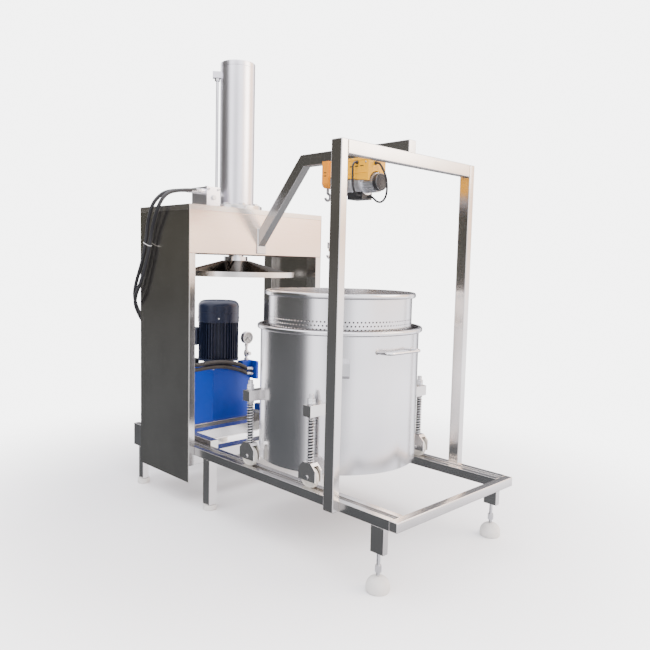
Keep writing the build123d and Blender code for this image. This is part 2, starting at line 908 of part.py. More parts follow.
# Caster forks with their guide rods
with BuildPart() as caster_forks:
    for place in caster_places:
        fork_side = Plane(origin=(place[0], place[1], 0), x_dir=(0, 1, 0), z_dir=(1, 0, 0))
        with BuildSketch(fork_side):
            with BuildLine():
                Polyline(
                    (-fork_long / 2, fork_low),
                    (fork_long / 2, fork_low),
                    (fork_long / 2, fork_top - fork_chamfer),
                    (fork_long / 2 - fork_chamfer, fork_top),
                    (-fork_long / 2 + fork_chamfer, fork_top),
                    (-fork_long / 2, fork_top - fork_chamfer),
                    close=True,
                )
            make_face()
        extrude(amount=fork_wide / 2, both=True)
        block(
            (place[0] - fork_slot / 2, place[0] + fork_slot / 2),
            (place[1] - fork_long / 2, place[1] + fork_long / 2),
            (fork_low, fork_top - fork_crown),
            mode=Mode.SUBTRACT,
        )
        along_x(
            (place[1], wheel_z),
            (place[0] - fork_wide / 2, place[0] + fork_wide / 2),
            axle_radius + run_fit,
            mode=Mode.SUBTRACT,
        )
        upright(place, (fork_top, caster_rod_top), caster_rod)
save(caster_forks, "caster_forks")

with BuildPart() as caster_axles:
    for place in caster_places:
        axle_half = fork_wide / 2 + axle_head_thick
        along_x((place[1], wheel_z), (place[0] - axle_half, place[0] + axle_half), axle_radius)
        for side in (-1, 1):
            head = (place[0] + side * fork_wide / 2, place[0] + side * axle_half)
            along_x((place[1], wheel_z), head, axle_head)
save(caster_axles, "caster_axles")

# Wheels, dished between hub and rim
wheel_names = ["wheel_front_left", "wheel_front_right", "wheel_rear_left", "wheel_rear_right"]
for place, wheel_name in zip(caster_places, wheel_names):
    with BuildPart() as wheel:
        wheel_plane = Plane(origin=(place[0], place[1], wheel_z), x_dir=(0, 1, 0), z_dir=(0, 0, 1))
        with BuildSketch(wheel_plane):
            with BuildLine():
                Polyline(
                    (axle_radius + run_fit, -fork_slot / 2 + free_gap),
                    (hub_boss, -fork_slot / 2 + free_gap),
                    (hub_boss + wheel_rim, -wheel_wide / 2 + wheel_rim),
                    (wheel_radius - 3 * wheel_rim, -wheel_wide / 2 + wheel_rim),
                    (wheel_radius - 2 * wheel_rim, -wheel_wide / 2),
                    (wheel_radius - wheel_rim, -wheel_wide / 2),
                    (wheel_radius, -wheel_wide / 2 + wheel_rim),
                    (wheel_radius, 0),
                    (axle_radius + run_fit, 0),
                    close=True,
                )
            make_face()
            mirror(about=Plane.XZ)
        revolve(axis=Axis((place[0], place[1], wheel_z), (1, 0, 0)))
    save(wheel, wheel_name)


def helix_arcs(axis_x, axis_y, low, radius, rise, quarters):
    """Arcs of a helix about a vertical axis, two for each quarter turn, with level ends."""
    arcs = []
    for k in range(quarters):
        ends = []
        for step in (k, k + 1):
            turn = step * math.pi / 2
            way = 0 if step in (0, quarters) else rise
            point = Vector(
                axis_x + radius * math.cos(turn),
                axis_y + radius * math.sin(turn),
                low + rise * step * math.pi / 2,
            )
            tangent = Vector(-radius * math.sin(turn), radius * math.cos(turn), way).normalized()
            ends.append((point, tangent))
        (start, out), (stop, into) = ends
        chord = stop - start
        bend = 2 * (1 - out.dot(into))
        along = chord.dot(out + into)
        reach = (math.sqrt(along**2 + bend * chord.dot(chord)) - along) / bend
        middle = (start + stop + (out - into) * reach) / 2
        middle_way = (stop - into * reach - start - out * reach).normalized()
        arcs.append(Edge.make_tangent_arc(start, out, middle))
        arcs.append(Edge.make_tangent_arc(middle, middle_way, stop))
    return arcs


def least_self_gap(edges, thick, apart):
    """Least gap of a tube to itself, measured between points further apart along it than given."""
    points = [edge @ (n / 6) for edge in edges for n in range(6)]
    least = math.inf
    for i, first in enumerate(points):
        for second in points[i + apart:]:
            least = min(least, (first - second).length)
    return least - thick


# Coil springs between forks and brackets, with straight ends one wire long
spring_rise_length = spring_top - spring_low - spring_wire
spring_rise = spring_rise_length / (spring_turns * 2 * math.pi)
with BuildPart() as caster_springs:
    for place in caster_places:
        coil = helix_arcs(
            place[0],
            place[1],
            spring_low + spring_wire / 2,
            spring_mean / 2,
            spring_rise,
            spring_turns * 4,
        )
        lead_in = Line(coil[0] @ 0 - (coil[0] % 0) * spring_wire, coil[0] @ 0)
        lead_out = Line(coil[-1] @ 1, coil[-1] @ 1 + (coil[-1] % 1) * spring_wire)
        with BuildLine() as spring_path:
            add(lead_in)
            add(coil)
            add(lead_out)
        with BuildSketch(Plane(origin=lead_in @ 0, z_dir=lead_in % 0)):
            Circle(spring_wire / 2)
        sweep(path=spring_path.line)
save(caster_springs, "caster_springs")
print("spring self gap", round(least_self_gap(coil, spring_wire, 24), 2))

# Platform of the power unit, hung on the rear crossbar and standing on two legs
with BuildPart() as unit_platform:
    block((platform_left, platform_right), (base_rear, unit_rear), (platform_low, platform_top))
    for place in unit_leg_places:
        half_leg = platform_leg / 2
        block(
            (place[0] - half_leg, place[0] + half_leg),
            (place[1] - half_leg, place[1] + half_leg),
            (pad_high, platform_low),
        )
    for lug_left in (platform_left, platform_right - platform_lug_wide):
        block(
            (lug_left, lug_left + platform_lug_wide),
            (base_rear, base_rear + platform_lug_thick),
            (platform_top, platform_top + platform_lug_high),
        )
save(unit_platform, "unit_platform")

with BuildPart() as oil_tank:
    block((tank_left, tank_right), (tank_front, tank_rear), (platform_top, tank_top))
    block(
        (tank_left + tank_wall, tank_right - tank_wall),
        (tank_front + tank_wall, tank_rear - tank_wall),
        (platform_top + tank_wall, tank_top),
        mode=Mode.SUBTRACT,
    )
save(oil_tank, "oil_tank")

with BuildPart() as tank_lid:
    block(
        (tank_left - lid_lip, tank_right + lid_lip),
        (tank_front - lid_lip, tank_rear + lid_lip),
        (tank_top, lid_top),
    )
    upright((motor_x, motor_y), (tank_top, lid_top), shaft_radius + housing_wall, mode=Mode.SUBTRACT)
save(tank_lid, "tank_lid")

with BuildPart() as filler_cap:
    upright((tank_left + cap_inset, tank_rear - cap_inset), (lid_top, lid_top + cap_tall), cap_radius)
    fillet(filler_cap.edges().group_by(Axis.Z)[-1], cap_round)
save(filler_cap, "filler_cap")

# Gear pump in the tank, hung from the lid on its nose and driven from above
with BuildPart() as gear_pump:
    upright((motor_x, motor_y), (tank_top - pump_nose, tank_top), pump_nose_radius)
    block(
        (motor_x - pump_long / 2, motor_x + pump_long / 2),
        (motor_y - pump_wide / 2, motor_y + pump_wide / 2),
        (tank_top - pump_nose - pump_high, tank_top - pump_nose),
    )
    upright(
        (motor_x, motor_y),
        (tank_top - pump_shaft_deep, tank_top),
        shaft_radius + run_fit,
        mode=Mode.SUBTRACT,
    )
save(gear_pump, "gear_pump")

# Bell housing between lid and motor
with BuildPart() as bell_housing:
    upright((motor_x, motor_y), (lid_top, motor_low), housing_radius)
    upright((motor_x, motor_y), (lid_top, motor_low), housing_radius - housing_wall, mode=Mode.SUBTRACT)
save(bell_housing, "bell_housing")

# Motor: flange, finned body and end walls that carry the shaft
with BuildPart() as motor_body:
    upright((motor_x, motor_y), (motor_low, motor_low + motor_flange_thick), motor_flange_radius)
    upright((motor_x, motor_y), (motor_low, motor_top), motor_radius)
    for k in range(motor_fin_count):
        fin_plane = Plane(Location((motor_x, motor_y, motor_low), (0, 0, k * 360 / motor_fin_count)))
        with BuildSketch(fin_plane.offset(motor_foot_room)):
            with Locations((motor_radius, 0)):
                Rectangle(2 * motor_fin_deep, motor_fin_thick)
        extrude(amount=motor_high - motor_foot_room)
    upright(
        (motor_x, motor_y),
        (motor_low + motor_end_wall, motor_top - motor_end_wall),
        motor_bore,
        mode=Mode.SUBTRACT,
    )
    upright((motor_x, motor_y), (motor_low, motor_top), shaft_radius + run_fit, mode=Mode.SUBTRACT)
save(motor_body, "motor_body")

with BuildPart() as terminal_box:
    terminal_plane = Plane(Location((motor_x, motor_y, terminal_low), (0, 0, terminal_degrees)))
    with BuildSketch(terminal_plane):
        with Locations((motor_radius + motor_fin_deep + terminal_out / 2, 0)):
            Rectangle(terminal_out, terminal_wide)
    extrude(amount=terminal_high)
save(terminal_box, "terminal_box")

# Fan cowl with a slotted top, seated on the motor's fins
with BuildPart() as fan_cowl:
    upright((motor_x, motor_y), (motor_top, cowl_top), cowl_radius)
    fillet(fan_cowl.edges().group_by(Axis.Z)[-1], cowl_round)
    offset(amount=-cowl_wall, openings=fan_cowl.faces().sort_by(Axis.Z)[0])
    for k in range(cowl_slot_count):
        slot_plane = Plane(Location((motor_x, motor_y, cowl_top), (0, 0, k * 360 / cowl_slot_count)))
        with BuildSketch(slot_plane):
            with Locations(((cowl_slot_inner + cowl_slot_outer) / 2, 0)):
                Rectangle(cowl_slot_outer - cowl_slot_inner, cowl_slot_wide)
        extrude(amount=-cowl_wall, mode=Mode.SUBTRACT)
save(fan_cowl, "fan_cowl")

# Rotor: shaft, core and fan
rotor_low = motor_low + motor_end_wall + free_gap
rotor_top = motor_top - motor_end_wall - free_gap
fan_low = motor_top + fan_up
with BuildPart() as motor_rotor:
    upright((motor_x, motor_y), (tank_top - pump_shaft_deep + free_gap, fan_low + fan_thick), shaft_radius)
    upright((motor_x, motor_y), (rotor_low, rotor_top), rotor_radius)
    upright((motor_x, motor_y), (fan_low, fan_low + fan_thick), fan_radius)
    for k in range(fan_blade_count):
        blade_turn = (0, 0, k * 360 / fan_blade_count)
        with BuildSketch(Plane(Location((motor_x, motor_y, fan_low + fan_thick), blade_turn))):
            with Locations(((fan_blade_inner + fan_blade_outer) / 2, 0)):
                Rectangle(fan_blade_outer - fan_blade_inner, fan_thick)
        extrude(amount=fan_blade_high)
save(motor_rotor, "motor_rotor")

# Manifold block on the lid, with an arm beside the tank for the hoses, and the gauge above it
with BuildPart() as valve_manifold:
    block(
        (manifold_left, manifold_right),
        (manifold_front, manifold_front + manifold_deep),
        (lid_top, lid_top + manifold_high),
    )
    block(
        (port_arm_left, manifold_right),
        (manifold_front - port_arm_ahead, manifold_front + manifold_deep),
        (lid_top - port_arm_drop, lid_top + manifold_high),
    )
save(valve_manifold, "valve_manifold")

gauge_dial = gauge_front + gauge_recess
with BuildPart() as gauge_case:
    along_y((gauge_x, gauge_z), (gauge_front, gauge_front + gauge_deep), gauge_radius)
    along_y((gauge_x, gauge_z), (gauge_front, gauge_dial), gauge_radius - gauge_wall, mode=Mode.SUBTRACT)
    along_y(
        (gauge_x, gauge_z),
        (gauge_dial, gauge_dial + needle_pin_long + free_gap),
        needle_pin + run_fit,
        mode=Mode.SUBTRACT,
    )
    upright(
        (gauge_x, gauge_dial + gauge_stem),
        (lid_top + manifold_high, gauge_z - gauge_radius + gauge_wall),
        gauge_stem,
    )
save(gauge_case, "gauge_case")

# Needle on a pin in the dial
needle_plane = Plane(
    origin=(gauge_x, gauge_dial - needle_stand, gauge_z), x_dir=(1, 0, 0), z_dir=(0, -1, 0)
)
with BuildPart() as gauge_needle:
    with BuildSketch(needle_plane):
        Circle(needle_hub)
        with Locations(Location((0, 0, 0), needle_start_degrees)):
            Rectangle(needle_long, needle_wide, align=(Align.MIN, Align.CENTER))
            Rectangle(needle_tail, needle_wide, align=(Align.MAX, Align.CENTER))
    extrude(amount=needle_thick)
    along_y((gauge_x, gauge_z), (gauge_dial - needle_stand, gauge_dial + needle_pin_long), needle_pin)
save(gauge_needle, "gauge_needle")


def hose_radii(points):
    """Largest bend that the shorter run beside each corner of a hose has room for."""
    radii = []
    for before, corner, after in zip(points, points[1:], points[2:]):
        run_in = Vector(corner) - Vector(before)
        run_out = Vector(after) - Vector(corner)
        half_turn = math.radians(run_in.get_angle(run_out)) / 2
        radii.append(hose_bend_share * min(run_in.length, run_out.length) / math.tan(half_turn))
    return radii


# Two hoses from the port block, down behind the left panel and along the tank's front to the manifold
hose_port_y = manifold_front - hose_port_ahead
hose_routes = {
    "pressure_hose": [
        (-452, 228, 1699),
        (-492, 236, 1665),
        (-513, 254, 1613),
        (-511, 286, 1561),
        (-508, 321, 1505),
        (-506, 346, 1443),
        (-506, 368, 1363),
        (-507, 402, 1284),
        (-510, 444, 1197),
        (-516, 488, 1128),
        (-505, 526, 1072),
        (-470, 556, 1018),
        (-428, 581, 966),
        (-366, 604, 902),
        (-298, 630, 828),
        (-235, 646, 752),
        (-160, 652, 690),
        (-80, 652, 652),
        (5, 652, 643),
        (66, 652, 649),
        (126, 652, 652),
        (182, 652, 651),
        (235, 652, 646),
        (293, 652, 635),
        (348, 652, 621),
        (392, 652, 602),
    ],
    "return_hose": [
        (-445, 270, 1703),
        (-484, 291, 1675),
        (-511, 317, 1628),
        (-513, 346, 1568),
        (-509, 373, 1506),
        (-506, 390, 1443),
        (-506, 415, 1363),
        (-507, 451, 1283),
        (-510, 498, 1195),
        (-505, 531, 1128),
        (-478, 566, 1066),
        (-437, 593, 1007),
        (-386, 618, 948),
        (-318, 646, 876),
        (-250, 672, 798),
        (-190, 682, 715),
        (-125, 678, 655),
        (-60, 664, 621),
        (5, 652, 612),
        (66, 652, 618),
        (126, 652, 620),
        (182, 652, 619),
        (235, 652, 614),
        (293, 652, 600),
        (349, 652, 584),
        (392, 652, 568),
    ],
}
for i, (hose_name, route) in enumerate(hose_routes.items()):
    hose_port_z = lid_top - hose_port_drop - i * hose_port_pitch
    points = [
        (fitting_end, fitting_places[i], fitting_z),
        (fitting_end - hose_lead, fitting_places[i], fitting_z),
    ]
    points += [(x, press_front + y, z) for x, y, z in route]
    points += [(port_arm_left - hose_tail, hose_port_y, hose_port_z)]
    points += [(port_arm_left, hose_port_y, hose_port_z)]
    radii = hose_radii(points)
    with BuildPart() as hose:
        with BuildLine() as hose_path:
            FilletPolyline(*points, radius=radii)
        with BuildSketch(Plane(origin=hose_path.line @ 0, z_dir=hose_path.line % 0)):
            Circle(hose_radius)
        sweep(path=hose_path.line)
    save(hose, hose_name)
    hose_length = hose_path.wire().length
    print(hose_name, "radii", [round(radius) for radius in radii])
    print(hose_name, "length", round(hose_length))
    hose_share = hose.part.volume / (math.pi * hose_radius**2 * hose_length)
    print(hose_name, "volume share", round(hose_share, 4))


def hook_shape(place, top, bowl_top):
    """A round hook on a shank: the bowl starts under the shank and leaves a throat at one side."""
    upright(place, (bowl_top, top), hook_shank)
    bowl_z = bowl_top - hook_bend
    bowl_plane = Plane(origin=(place[0], place[1], bowl_z), x_dir=(0, 1, 0), z_dir=(1, 0, 0))
    with BuildSketch(bowl_plane) as bowl:
        with Locations((0, hook_bend)):
            Circle(hook_wire)
    bowl_axis = Axis((place[0], place[1], bowl_z), (0, 1, 0))
    revolve(bowl.sketch, axis=bowl_axis, revolution_arc=hook_sweep_degrees)


# Rope hoist: gear case with a pocket for the drum, an anchor hook and ears for the limit lever
gearcase_low = gantry_top - gearcase_high
lever_y = gearcase_back - lever_set
lever_z = gearcase_low - lever_drop
ear_inner = lever_wide / 2 + free_gap
pocket_half = gearcase_half - gearcase_cheek
housing_ceiling = gantry_top - housing_skin
with BuildPart() as hoist_gearcase:
    block((-gearcase_half, gearcase_half), (gearcase_face, gearcase_back), (gearcase_low, gantry_top))
    fillet(hoist_gearcase.edges().filter_by(Axis.Y).group_by(Axis.Z)[0], gearcase_round)
    block(
        (-pocket_half, pocket_half),
        (gearcase_face, gearcase_floor),
        (gearcase_low, housing_ceiling),
        mode=Mode.SUBTRACT,
    )
    along_y(
        (0, drum_z),
        (gearcase_floor, gearcase_floor + drum_shaft_in),
        drum_shaft + run_fit,
        mode=Mode.SUBTRACT,
    )
    for side in (-1, 1):
        block(
            (side * ear_inner, side * (ear_inner + lever_ear)),
            (lever_y - lever_wide / 2, lever_y + lever_wide / 2),
            (lever_z - lever_wide / 2, gearcase_low),
        )
    along_x(
        (lever_y, lever_z),
        (-ear_inner - lever_ear, ear_inner + lever_ear),
        lever_pin + run_fit,
        mode=Mode.SUBTRACT,
    )
    hook_shape((-anchor_x, gearcase_back - anchor_set), gearcase_low, gearcase_low - hook_shank_long)
save(hoist_gearcase, "hoist_gearcase")

# Trough over drum and motor, deeper at the front, with an arch that the motor comes through
housing_face = gearcase_face - housing_long
housing_low = gantry_top - housing_drop
with BuildPart() as hoist_housing:
    with BuildSketch(Plane.YZ):
        with BuildLine():
            Polyline(
                (gearcase_face, gantry_top),
                (gearcase_face, housing_low),
                (housing_face, housing_low - housing_slope),
                (housing_face, gantry_top),
                close=True,
            )
        make_face()
    extrude(amount=housing_half, both=True)
    block(
        (-housing_half + housing_skin, housing_half - housing_skin),
        (housing_face + housing_skin, gearcase_face),
        (housing_low - housing_slope, housing_ceiling),
        mode=Mode.SUBTRACT,
    )
    along_y(
        (0, hoist_motor_z), (housing_face, housing_face + housing_skin), housing_arch, mode=Mode.SUBTRACT
    )
save(hoist_housing, "hoist_housing")

# Hoist motor: bell towards the drum, finned body, end cap, and a saddle up to the trough
with BuildPart() as hoist_motor:
    along_y((0, hoist_motor_z), (hoist_face, hoist_back), hoist_motor_radius)
    for k in range(hoist_fin_count):
        fin_turn = math.pi * k / hoist_fin_count
        fin_plane = Plane(
            origin=(0, hoist_face, hoist_motor_z),
            x_dir=(math.cos(fin_turn), 0, math.sin(fin_turn)),
            z_dir=(0, 1, 0),
        )
        with BuildSketch(fin_plane):
            Rectangle(2 * hoist_fin_radius, hoist_fin_thick)
        extrude(amount=hoist_bell_face - hoist_face)
    along_y((0, hoist_motor_z), (hoist_bell_face, hoist_back), hoist_bell_radius)
    along_y((0, hoist_motor_z), (hoist_face - hoist_cap_long, hoist_face), hoist_cap_radius)
    block(
        (-saddle_half, saddle_half),
        (hoist_bell_face + saddle_inset, hoist_back - saddle_inset),
        (hoist_motor_z, housing_ceiling),
    )
    along_y(
        (0, drum_z), (hoist_back - drum_shaft_in, hoist_back), drum_shaft + run_fit, mode=Mode.SUBTRACT
    )
save(hoist_motor, "hoist_motor")

# Capacitor box under the bell, hollowed to it
capacitor_low = gantry_top - capacitor_drop
capacitor_rear = hoist_bell_face + capacitor_long
with BuildPart() as capacitor_box:
    block(
        (-capacitor_half, capacitor_half),
        (hoist_bell_face, capacitor_rear),
        (capacitor_low, hoist_motor_z - math.sqrt(hoist_bell_radius**2 - capacitor_half**2)),
    )
    along_y(
        (0, hoist_motor_z),
        (hoist_bell_face, capacitor_rear),
        hoist_bell_radius + free_gap,
        mode=Mode.SUBTRACT,
    )
save(capacitor_box, "capacitor_box")

# Drum between motor and gear case, with its outer layer of rope
with BuildPart() as rope_drum:
    along_y((0, drum_z), (drum_face, drum_back), drum_radius)
    along_y((0, drum_z), (drum_face, drum_face + drum_flange_thick), drum_flange)
    along_y((0, drum_z), (drum_back - drum_flange_thick, drum_back), drum_flange)
    along_y(
        (0, drum_z),
        (hoist_back - drum_shaft_in + free_gap, gearcase_floor + drum_shaft_in - free_gap),
        drum_shaft,
    )
save(rope_drum, "rope_drum")

winding_arcs = helix_arcs(0, 0, 0, -rope_x, winding_pitch / (2 * math.pi), winding_turns * 4)
winding_place = Location(
    Plane(origin=(0, drum_back - winding_set, drum_z), x_dir=(-1, 0, 0), z_dir=(0, -1, 0))
)
winding_arcs = [arc.moved(winding_place) for arc in winding_arcs]
wind_in = Line(winding_arcs[0] @ 0 - (winding_arcs[0] % 0) * 2 * rope_radius, winding_arcs[0] @ 0)
wind_out = Line(winding_arcs[-1] @ 1, winding_arcs[-1] @ 1 + (winding_arcs[-1] % 1) * 2 * rope_radius)
with BuildPart() as rope_winding:
    with BuildLine() as winding_path:
        add(wind_in)
        add(winding_arcs)
        add(wind_out)
    with BuildSketch(Plane(origin=wind_in @ 0, z_dir=wind_in % 0)):
        Circle(rope_radius)
    sweep(path=winding_path.line)
save(rope_winding, "rope_winding")
print("winding self gap", round(least_self_gap(winding_arcs, 2 * rope_radius, 24), 2))

# Hanging rope, its socket and the swivelling hook
with BuildPart() as hoist_rope:
    upright((rope_x, rope_y), (hook_top, drum_z), rope_radius)
save(hoist_rope, "hoist_rope")

with BuildPart() as hook_socket:
    upright((rope_x, rope_y), (hook_top - socket_high, hook_top), socket_radius)
    upright(
        (rope_x, rope_y),
        (hook_top - socket_high, hook_top - socket_high + socket_deep),
        hook_shank + run_fit,
        mode=Mode.SUBTRACT,
    )
save(hook_socket, "hook_socket")

with BuildPart() as lifting_hook:
    hook_shape(
        (rope_x, rope_y),
        hook_top - socket_high + socket_deep - free_gap,
        hook_top - socket_high - hook_shank_long / 2,
    )
save(lifting_hook, "lifting_hook")

# Limit lever on its pin
with BuildPart() as limit_lever:
    block(
        (-lever_wide / 2, lever_wide / 2),
        (lever_y - lever_long, lever_y + lever_wide / 2),
        (lever_z - lever_thick / 2, lever_z + lever_thick / 2),
    )
    along_x((lever_y, lever_z), (-lever_wide / 2, lever_wide / 2), lever_wide / 2)
    along_x((lever_y, lever_z), (-ear_inner - lever_ear, ear_inner + lever_ear), lever_pin)
save(limit_lever, "limit_lever")

# Cables from the trough's side and front, round the motor to the capacitor box
cable_z = capacitor_low + cable_up
side_route = [(15, 22), (27, 30), (32, 44), (31, 90), (28, 130), (20, 154), (6, 171), (-10, 177)]
side_y = hoist_bell_face + cable_side_set
side_cable = [(-housing_half, side_y, gantry_top - side_route[0][1])]
side_cable += [(-housing_half - out, side_y, gantry_top - down) for out, down in side_route]
side_cable += [(-capacitor_half, side_y, cable_z)]
front_route = [
    (-14, 16, 26),
    (-14, 30, 33),
    (-13, 42, 50),
    (-10, 62, 85),
    (-4, 66, 120),
    (4, 62, 158),
    (10, 48, 190),
    (14, 22, 208),
    (14, -5, 206),
    (14, -27, 190),
    (14, -44, 177),
]
front_cable = [(front_route[0][0], housing_face, gantry_top - front_route[0][2])]
front_cable += [(x, housing_face - out, gantry_top - down) for x, out, down in front_route]
front_cable += [(front_route[-1][0], hoist_bell_face, cable_z)]
with BuildPart() as hoist_cables:
    for points in (side_cable, front_cable):
        radii = hose_radii(points)
        with BuildLine() as cable_path:
            FilletPolyline(*points, radius=radii)
        with BuildSketch(Plane(origin=cable_path.line @ 0, z_dir=cable_path.line % 0)):
            Circle(cable_radius)
        sweep(path=cable_path.line)
        print("hoist_cables radii", [round(radius) for radius in radii])
save(hoist_cables, "hoist_cables")
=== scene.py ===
import json
import math

import bmesh
import bpy
from mathutils import Matrix, Vector


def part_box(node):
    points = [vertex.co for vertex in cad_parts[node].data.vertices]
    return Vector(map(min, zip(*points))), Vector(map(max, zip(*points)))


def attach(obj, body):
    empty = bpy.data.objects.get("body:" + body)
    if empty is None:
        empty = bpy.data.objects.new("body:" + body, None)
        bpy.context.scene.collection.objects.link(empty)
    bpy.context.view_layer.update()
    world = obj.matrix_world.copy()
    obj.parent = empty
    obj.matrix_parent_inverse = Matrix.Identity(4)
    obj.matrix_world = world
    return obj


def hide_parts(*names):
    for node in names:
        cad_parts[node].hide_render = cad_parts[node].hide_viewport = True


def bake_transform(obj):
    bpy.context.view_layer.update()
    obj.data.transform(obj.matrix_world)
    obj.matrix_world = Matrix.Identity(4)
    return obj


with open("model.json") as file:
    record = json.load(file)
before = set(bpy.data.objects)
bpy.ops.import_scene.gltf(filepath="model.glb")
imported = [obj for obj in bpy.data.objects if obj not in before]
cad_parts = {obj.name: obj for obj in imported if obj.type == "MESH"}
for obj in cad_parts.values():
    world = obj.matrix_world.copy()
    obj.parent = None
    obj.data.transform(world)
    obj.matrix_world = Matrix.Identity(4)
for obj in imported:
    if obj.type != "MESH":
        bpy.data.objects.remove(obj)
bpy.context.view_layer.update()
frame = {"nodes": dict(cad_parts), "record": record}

nodes = frame["nodes"]
bodies = frame["record"]["behaviour"]["bodies"]
body_of_node = {name: body for body, names in bodies.items() for name in names}

# The camera of the photograph, in metres and degrees
camera_place = Vector((-2.427, -2.7825, 1.3217))
camera_heading = 44.73
camera_dip = 5.23
camera_roll = 1.37
camera_lens = 36.82

# Sizes that the pieces share with the model, in metres
press_front = 0.204
hose_diameter = 0.020
cable_diameter = 0.010
barrel_y = -0.439
barrel_radius = 0.400
caster_x = 0.396
caster_half = 0.21863
basket_radius = 0.362
basket_wall = 0.004
rope_x = -0.0413
rope_y = -0.395
drum_z = 1.740
hoist_motor_z = 1.715
motor_x = 0.300
motor_y = 1.026
gauge_x = 0.450
gauge_z = 0.795
gauge_dial = 0.893
block_middle = -0.210
block_front = 0.374
block_top = 1.740
pipe_y = 0.5092
pipe_z = 1.714
cylinder_y = 0.439
gantry_front = -0.888
gantry_rear = -0.828
gantry_inner = 0.440
beam_low = 1.770
beam_top = 1.830
lug_turns = (226.7, 46.7)
lug_low = 0.807
lug_high = 0.899
handle_ends = (-0.137, 0.095)
handle_z = 0.925
caster_places = [(i * caster_x, barrel_y + j * caster_half) for i in (-1, 1) for j in (-1, 1)]


def shader(name, **values):
    """A new material with a principled shader, and the values set on its sockets."""
    material = bpy.data.materials.new(name)
    material.use_nodes = True
    principled = material.node_tree.nodes["Principled BSDF"]
    for socket, value in values.items():
        principled.inputs[socket.replace("_", " ")].default_value = value
    return material, material.node_tree, principled


def noise(tree, scale, stretch=(1, 1, 1), detail=4.0, rough=0.55):
    """Noise in the model's own coordinates, stretched along chosen axes."""
    coords = tree.nodes.new("ShaderNodeTexCoord")
    mapping = tree.nodes.new("ShaderNodeMapping")
    mapping.inputs["Scale"].default_value = stretch
    texture = tree.nodes.new("ShaderNodeTexNoise")
    texture.inputs["Scale"].default_value = scale
    texture.inputs["Detail"].default_value = detail
    texture.inputs["Roughness"].default_value = rough
    tree.links.new(coords.outputs["Object"], mapping.inputs["Vector"])
    tree.links.new(mapping.outputs["Vector"], texture.inputs["Vector"])
    return texture.outputs["Fac"]


def ramp(tree, value, stops):
    """Colours along a value, as pairs of place and colour."""
    node = tree.nodes.new("ShaderNodeValToRGB")
    elements = node.color_ramp.elements
    while len(elements) < len(stops):
        elements.new(0.5)
    for element, (place, colour) in zip(elements, stops):
        element.position = place
        element.color = (*colour, 1.0)
    tree.links.new(value, node.inputs["Fac"])
    return node.outputs["Color"]


def spread(tree, value, low, high):
    """A value between 0 and 1 spread over a range."""
    node = tree.nodes.new("ShaderNodeMapRange")
    node.inputs["From Min"].default_value = 0.3
    node.inputs["From Max"].default_value = 0.7
    node.inputs["To Min"].default_value = low
    node.inputs["To Max"].default_value = high
    tree.links.new(value, node.inputs["Value"])
    return node.outputs["Result"]


def bump(tree, principled, height, strength, distance):
    """Bump from a height on a shader's normal."""
    node = tree.nodes.new("ShaderNodeBump")
    node.inputs["Strength"].default_value = strength
    node.inputs["Distance"].default_value = distance
    tree.links.new(height, node.inputs["Height"])
    tree.links.new(node.outputs["Normal"], principled.inputs["Normal"])


def brushed_steel(name, dark, light, rough, stretch, grain=0.03):
    """Stainless sheet: brush lines along one way and a soft change of tone over the sheet."""
    material, tree, principled = shader(name, Metallic=1.0)
    cloud = noise(tree, 2.3, detail=3.0)
    tree.links.new(ramp(tree, cloud, [(0.3, dark), (0.7, light)]), principled.inputs["Base Color"])
    lines = noise(tree, 1.0, stretch, detail=6.0, rough=0.65)
    tree.links.new(spread(tree, lines, rough - 0.03, rough + 0.03), principled.inputs["Roughness"])
    bump(tree, principled, lines, grain, 0.0003)
    return material


def paint(name, colour, rough, peel=0.03, shade=0.86, tone=2.5):
    """Sprayed paint: a little orange peel and a slow change of tone."""
    material, tree, principled = shader(name, Specular_IOR_Level=0.35)
    darker = tuple(channel * shade for channel in colour)
    cloud = noise(tree, tone, detail=3.0)
    tree.links.new(ramp(tree, cloud, [(0.3, darker), (0.68, colour)]), principled.inputs["Base Color"])
    dulled = spread(tree, noise(tree, 14.0), rough - 0.05, rough + 0.07)
    tree.links.new(dulled, principled.inputs["Roughness"])
    bump(tree, principled, noise(tree, 180.0, detail=2.0), peel, 0.0004)
    return material


def moulded(name, colour, rough, grain=300.0, shade=0.78):
    """Moulded plastic or rubber: fine grain, dulled and dirtied in patches."""
    material, tree, principled = shader(name)
    darker = tuple(channel * shade for channel in colour)
    dirt = noise(tree, 18.0, detail=6.0)
    tree.links.new(ramp(tree, dirt, [(0.32, darker), (0.6, colour)]), principled.inputs["Base Color"])
    tree.links.new(spread(tree, dirt, rough + 0.1, rough - 0.05), principled.inputs["Roughness"])
    bump(tree, principled, noise(tree, grain, detail=2.0), 0.06, 0.0005)
    return material


def bright_metal(name, colour, rough, turned=500.0):
    """Turned, drawn or cast bare metal with fine tool marks."""
    material, tree, principled = shader(name, Metallic=1.0)
    darker = tuple(channel * 0.82 for channel in colour)
    cloud = noise(tree, 9.0, detail=4.0)
    tree.links.new(ramp(tree, cloud, [(0.3, darker), (0.7, colour)]), principled.inputs["Base Color"])
    marks = noise(tree, turned, (1, 1, 0.2), detail=3.0)
    tree.links.new(spread(tree, marks, rough - 0.05, rough + 0.1), principled.inputs["Roughness"])
    bump(tree, principled, marks, 0.05, 0.0003)
    return material


